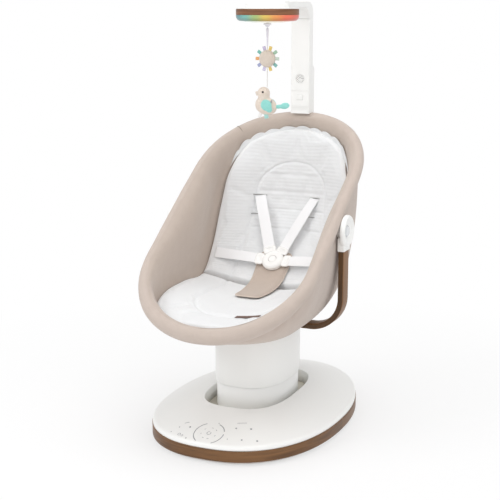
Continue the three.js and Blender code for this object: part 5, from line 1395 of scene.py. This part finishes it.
def hanging_string(name, body, top, bottom, node_name, with_pieces=()):
    sides, rows = 14, 60
    turn = np.arange(sides) * TAU / sides
    rings, uvs = [], []
    for z in np.linspace(top, bottom, rows):
        lay = 1 + 0.1 * np.cos(3 * (turn + (top - z) * 1.1))
        rings.append(np.stack([lay * np.cos(turn), DISC_Y + lay * np.sin(turn), np.full(sides, z)], 1))
        uvs.append(np.stack([turn / TAU * 6.3, np.full(sides, z)], 1) * MM)
    verts, faces = loft(rings, caps=True)
    cord = piece(name, verts, faces, body, string_fabric, np.vstack(uvs), replaces=[node_name])
    return cord


def string_sleeve():
    """Tapered fabric sleeve round the upper string, below the knob."""
    outline = [(1.02, 882.6), (2.7, 882.6), (3.2, 881.8), (2.9, 876), (2.3, 866), (1.8, 855), (1.45, 845), (1.4, 844.4), (1.02, 844.4)]
    verts, faces = turned(outline, 40)
    return piece("string_sleeve", verts + [0, DISC_Y, 0], faces, "sun_toy", sleeve_fabric)


sun()
bird()
hanging_string("sun_string", "sun_toy", 884.4, 835.8, "upper_string", [string_sleeve()])
hanging_string("bird_string", "bird_toy", 797.3, 755.6, "lower_string")


# ---------------------------------------------------------------- hems, printing and the remaining pieces
def tube(name, points, radius, body, material, sides=10, closed=True, up=RIM_UP):
    points = np.asarray(points, float)
    along = np.roll(points, -1, 0) - np.roll(points, 1, 0) if closed else np.gradient(points, axis=0)
    along = unit(along)
    across = unit(np.cross(along, up))
    over = np.cross(across, along)
    turn = np.arange(sides) * TAU / sides
    rings = [p + radius * (np.cos(turn)[:, None] * a + np.sin(turn)[:, None] * o) for p, a, o in zip(points, across, over)]
    run = path_length(points)
    uvs = [np.stack([np.full(sides, r), turn * radius], 1) * MM for r in run]
    verts, faces = loft(rings, closed=closed, caps=not closed)
    return piece(name, verts, faces, body, material, np.vstack(uvs))


def pad_hem():
    """Gathered upper edge of the back pad, laid against the wall in small waves."""
    walls = wall_rings()
    spots = np.linspace(0.405, 0.595, 241)
    where = (spots * RIM_COUNT)
    low_i = np.floor(where).astype(int)
    part = (where - low_i)[:, None]
    ring_at = lambda k: walls[k][low_i] * (1 - part) + walls[k][(low_i + 1) % RIM_COUNT] * part
    ends = smooth_step((spots - 0.405) / 0.03) * smooth_step((0.595 - spots) / 0.03)
    run = path_length(ring_at(18))
    stretch = run + 5 * np.array([ripple((r, 3, 0), 60.0, 4.4) for r in run])
    wave = 2 * np.abs(np.sin(stretch / 37.0 * math.pi)) ** 0.8 - 1
    middle = np.array([0.0, 40.0, 500.0])
    rows = 12
    top, bottom, uv = [], [], []
    for share in np.linspace(0, 1, rows):
        reach = 25 - share * (6.5 + 2.6 * wave) * ends
        lower = np.clip(np.floor(reach).astype(int), 0, 24)
        mix = (reach - lower)[:, None]
        stack = np.stack(walls)
        def on(k):
            return stack[k, low_i] * (1 - part) + stack[k, (low_i + 1) % RIM_COUNT] * part
        spot = on(lower) * (1 - mix) + on(np.minimum(lower + 1, 25)) * mix
        inward = unit(middle - spot)
        lift = (3.2 + 1.5 * wave * share + 2.0 * (1 - share)) * np.maximum(ends, 0.15)
        top.append(spot + inward * (lift + 1.0)[:, None])
        bottom.append(spot + inward * (lift - 0.6)[:, None])
        uv.append(np.stack([run, np.full(len(run), share * 30)], 1) * MM)
    verts, faces = closed_slab(np.array(top), np.array(bottom))
    uv = np.array(uv).reshape(-1, 2)
    piece("pad_hem", verts, faces, "seat", pad_fabric, np.vstack([uv, uv]))


def piping():
    # A thin dark tube of the binding cloth runs along each side edge of the pads, where they meet the wall.
    for side, low, high in (("left", 0.58, 0.93), ("right", 0.07, 0.42)):
        spots = np.linspace(low, high, 141)
        depth = 6.0 - 4.0 * np.abs(np.linspace(-1, 1, 141)) ** 8
        tube(f"pad_side_dark_line_{side}", bed(spots, 0.985) + bed_normal(spots, 0.985) * depth[:, None], 0.85, "seat", binding,
             closed=False)
    tube("crotch_piping", CROTCH_EDGE, 1.2, "seat", crotch_trim)
    seam = SEAM_T[0]
    centre, out, radius = rim_centre(seam)[0], rim_outward(seam)[0], float(rim_radius(seam)[0])
    angle = np.arange(72) * TAU / 72
    ring = centre + (radius - 0.5) * (np.cos(angle)[:, None] * out + np.sin(angle)[:, None] * RIM_UP)
    tube("rim_seam", ring, 0.75, "seat", binding, up=np.cross(out, RIM_UP))


def print_on_base():
    """Dial of three arcs and small generic signs, printed on the base's top."""
    shell = bpy.data.objects["base_shell"]
    bpy.context.view_layer.update()
    verts, faces = [], []

    def height(x, y):
        hit, spot, _, _ = shell.ray_cast(Vector((x * MM, (y + PLACE_Y) * MM, 0.2)), Vector((0, 0, -1)))
        return spot.z / MM if hit else 50.0

    def stroke(line, width):
        line = np.asarray(line, float)
        along = np.gradient(line, axis=0)
        along /= np.linalg.norm(along, axis=1)[:, None]
        side = np.stack([-along[:, 1], along[:, 0]], 1) * width / 2
        start = len(verts)
        for at_left, at_right in zip(line + side, line - side):
            for (x, y), lift in ((at_left, 0.14), (at_right, 0.14), (at_right, -0.2), (at_left, -0.2)):
                verts.append((x, y, height(x, y) + lift))
        count = len(line)
        for i in range(count - 1):
            for k in range(4):
                a, b = start + 4 * i + k, start + 4 * i + (k + 1) % 4
                faces.append((a, b, b + 4, a + 4))
        faces.append(tuple(start + k for k in range(4)))
        faces.append(tuple(start + 4 * (count - 1) + k for k in range(4)))

    def arc(x, y, radius, low, high, width, steps=40):
        angles = np.radians(np.linspace(low, high, steps)) + CAMERA_AZIMUTH
        stroke(np.stack([x + radius * np.cos(angles), y + radius * np.sin(angles)], 1), width)

    for low, high in ((97, 214), (-2, 48), (-82, -17)):
        arc(0, -259, 32.5, low, high, 1.8)
    arc(0, -259, 4.4, 60, 390, 1.1)
    for turn in (20, 62, 118, 172, 222, 262, 318):
        arc(0, -259, 17, turn - 7, turn + 7, 1.0, 8)
    for x, y, size in ((-49.5, -248, 2.2), (-42, -283, 1.6), (-74, -250, 1.5), (-86, -266, 1.2), (49.5, -229, 2.0),
                       (79, -218.6, 2.3), (75, -257.7, 2.0), (105, -246, 2.2), (45.7, -266, 1.2), (7, -224, 1.2)):
        arc(x, y, size * 0.55, 0, 350, size * 0.9, 18)
    arc(-63, -273, 3.2, 0, 350, 0.9, 20)
    arc(-55, -276, 2.4, 0, 350, 0.8, 20)
    arc(-59, -245, 12, 65, 115, 1.2, 16)
    stroke(np.linspace((44.5, -212.6), (63, -204.3), 12), 1.2)
    piece("printed_signs", verts, faces, "base", print_grey)


CAD_MATERIALS = {
    "rubber": rubber, "nylon": plastic_nylon, "steel": metal, "tube_metal": metal, "circuit_board": board_green,
    "dark_plastic": plastic_dark, "white_plastic": plastic_white, "wood_finish": wood_arm, "beige_fabric": fabric_beige,
    "white_fabric": pad_fabric, "webbing": webbing, "lens": rainbow_light, "grey_plastic": plastic_grey,
    "string": string_fabric, "oatmeal_plush": sun_pile, "cream_plush": bird_pile, "mint_plush": mint_pile}


def dress_cad():
    for obj in frame["nodes"].values():
        kind = obj.data.materials[0].name.split(".")[0]
        if kind in CAD_MATERIALS:
            obj.data.materials[0] = CAD_MATERIALS[kind]
        else:
            print("no material for", obj.name, kind)


pad_hem()
piping()
print_on_base()
dress_cad()
# ---------------------------------------------------------------- floor, light and the end
def make_stage():
    mesh = bpy.data.meshes.new("floor")
    mesh.from_pydata([(-6, -6, 0), (6, -6, 0), (6, 6, 0), (-6, 6, 0)], [], [(0, 1, 2, 3)])
    floor = bpy.data.objects.new("floor", mesh)
    SCENE.collection.objects.link(floor)
    material, tree, shader = start_material("floor", Base_Color=(0.93, 0.93, 0.935, 1.0), Roughness=0.6, Specular_IOR_Level=0.2)
    mesh.materials.append(material)
    # Seen directly or mirrored, the floor turns to plain white away from the object.
    far = node(tree, "ShaderNodeVectorMath", operation="LENGTH")
    link(tree, coordinates(tree, False), far.inputs[0])
    share = node(tree, "ShaderNodeMapRange")
    for key, value in (("From Min", 0.3), ("From Max", 1.15), ("To Min", 0.62), ("To Max", 1.0)):
        share.inputs[key].default_value = value
    link(tree, far.outputs["Value"], share.inputs["Value"])
    path = node(tree, "ShaderNodeLightPath")
    direct = maths(tree, "MAXIMUM", path.outputs["Is Camera Ray"], maths(tree, "MAXIMUM", path.outputs["Is Glossy Ray"], path.outputs["Is Transmission Ray"]))
    white = node(tree, "ShaderNodeEmission")
    white.inputs["Color"].default_value = (1.0, 1.0, 1.0, 1.0)
    mixed = node(tree, "ShaderNodeMixShader")
    link(tree, maths(tree, "MULTIPLY", direct, share.outputs[0]), mixed.inputs[0])
    link(tree, shader.outputs[0], mixed.inputs[1])
    link(tree, white.outputs[0], mixed.inputs[2])
    link(tree, mixed.outputs[0], tree.nodes["Material Output"].inputs[0])
    world = bpy.data.worlds.new("world")
    SCENE.world = world
    world.use_nodes = True
    tree = world.node_tree
    back = tree.nodes["Background"]
    back.inputs["Color"].default_value = (1.0, 1.0, 1.0, 1.0)
    back.inputs["Strength"].default_value = 0.68
    seen = node(tree, "ShaderNodeBackground")
    seen.inputs["Color"].default_value = (1.0, 1.0, 1.0, 1.0)
    seen.inputs["Strength"].default_value = 1.0
    path = node(tree, "ShaderNodeLightPath")
    mix = node(tree, "ShaderNodeMixShader")
    link(tree, path.outputs["Is Camera Ray"], mix.inputs[0])
    link(tree, back.outputs[0], mix.inputs[1])
    link(tree, seen.outputs[0], mix.inputs[2])
    link(tree, mix.outputs[0], tree.nodes["World Output"].inputs[0])


def lamp(name, place, aim, size, power):
    data = bpy.data.lights.new(name, "AREA")
    data.shape, data.size, data.energy = "SQUARE", size, power
    obj = bpy.data.objects.new(name, data)
    SCENE.collection.objects.link(obj)
    obj.location = place
    obj.rotation_euler = (Vector(aim) - Vector(place)).to_track_quat("-Z", "Y").to_euler()
    return obj


make_stage()
lamp("key", (-1.7, -2.2, 2.5), (0, 0, 0.45), 1.6, 31)
lamp("fill", (1.9, -2.4, 1.3), (0, 0, 0.4), 2.2, 10)
lamp("top", (0.6, -0.1, 3.0), (0, 0, 0.3), 2.0, 27)
SCENE.view_settings.view_transform = "Standard"
SCENE.view_settings.look = "None"
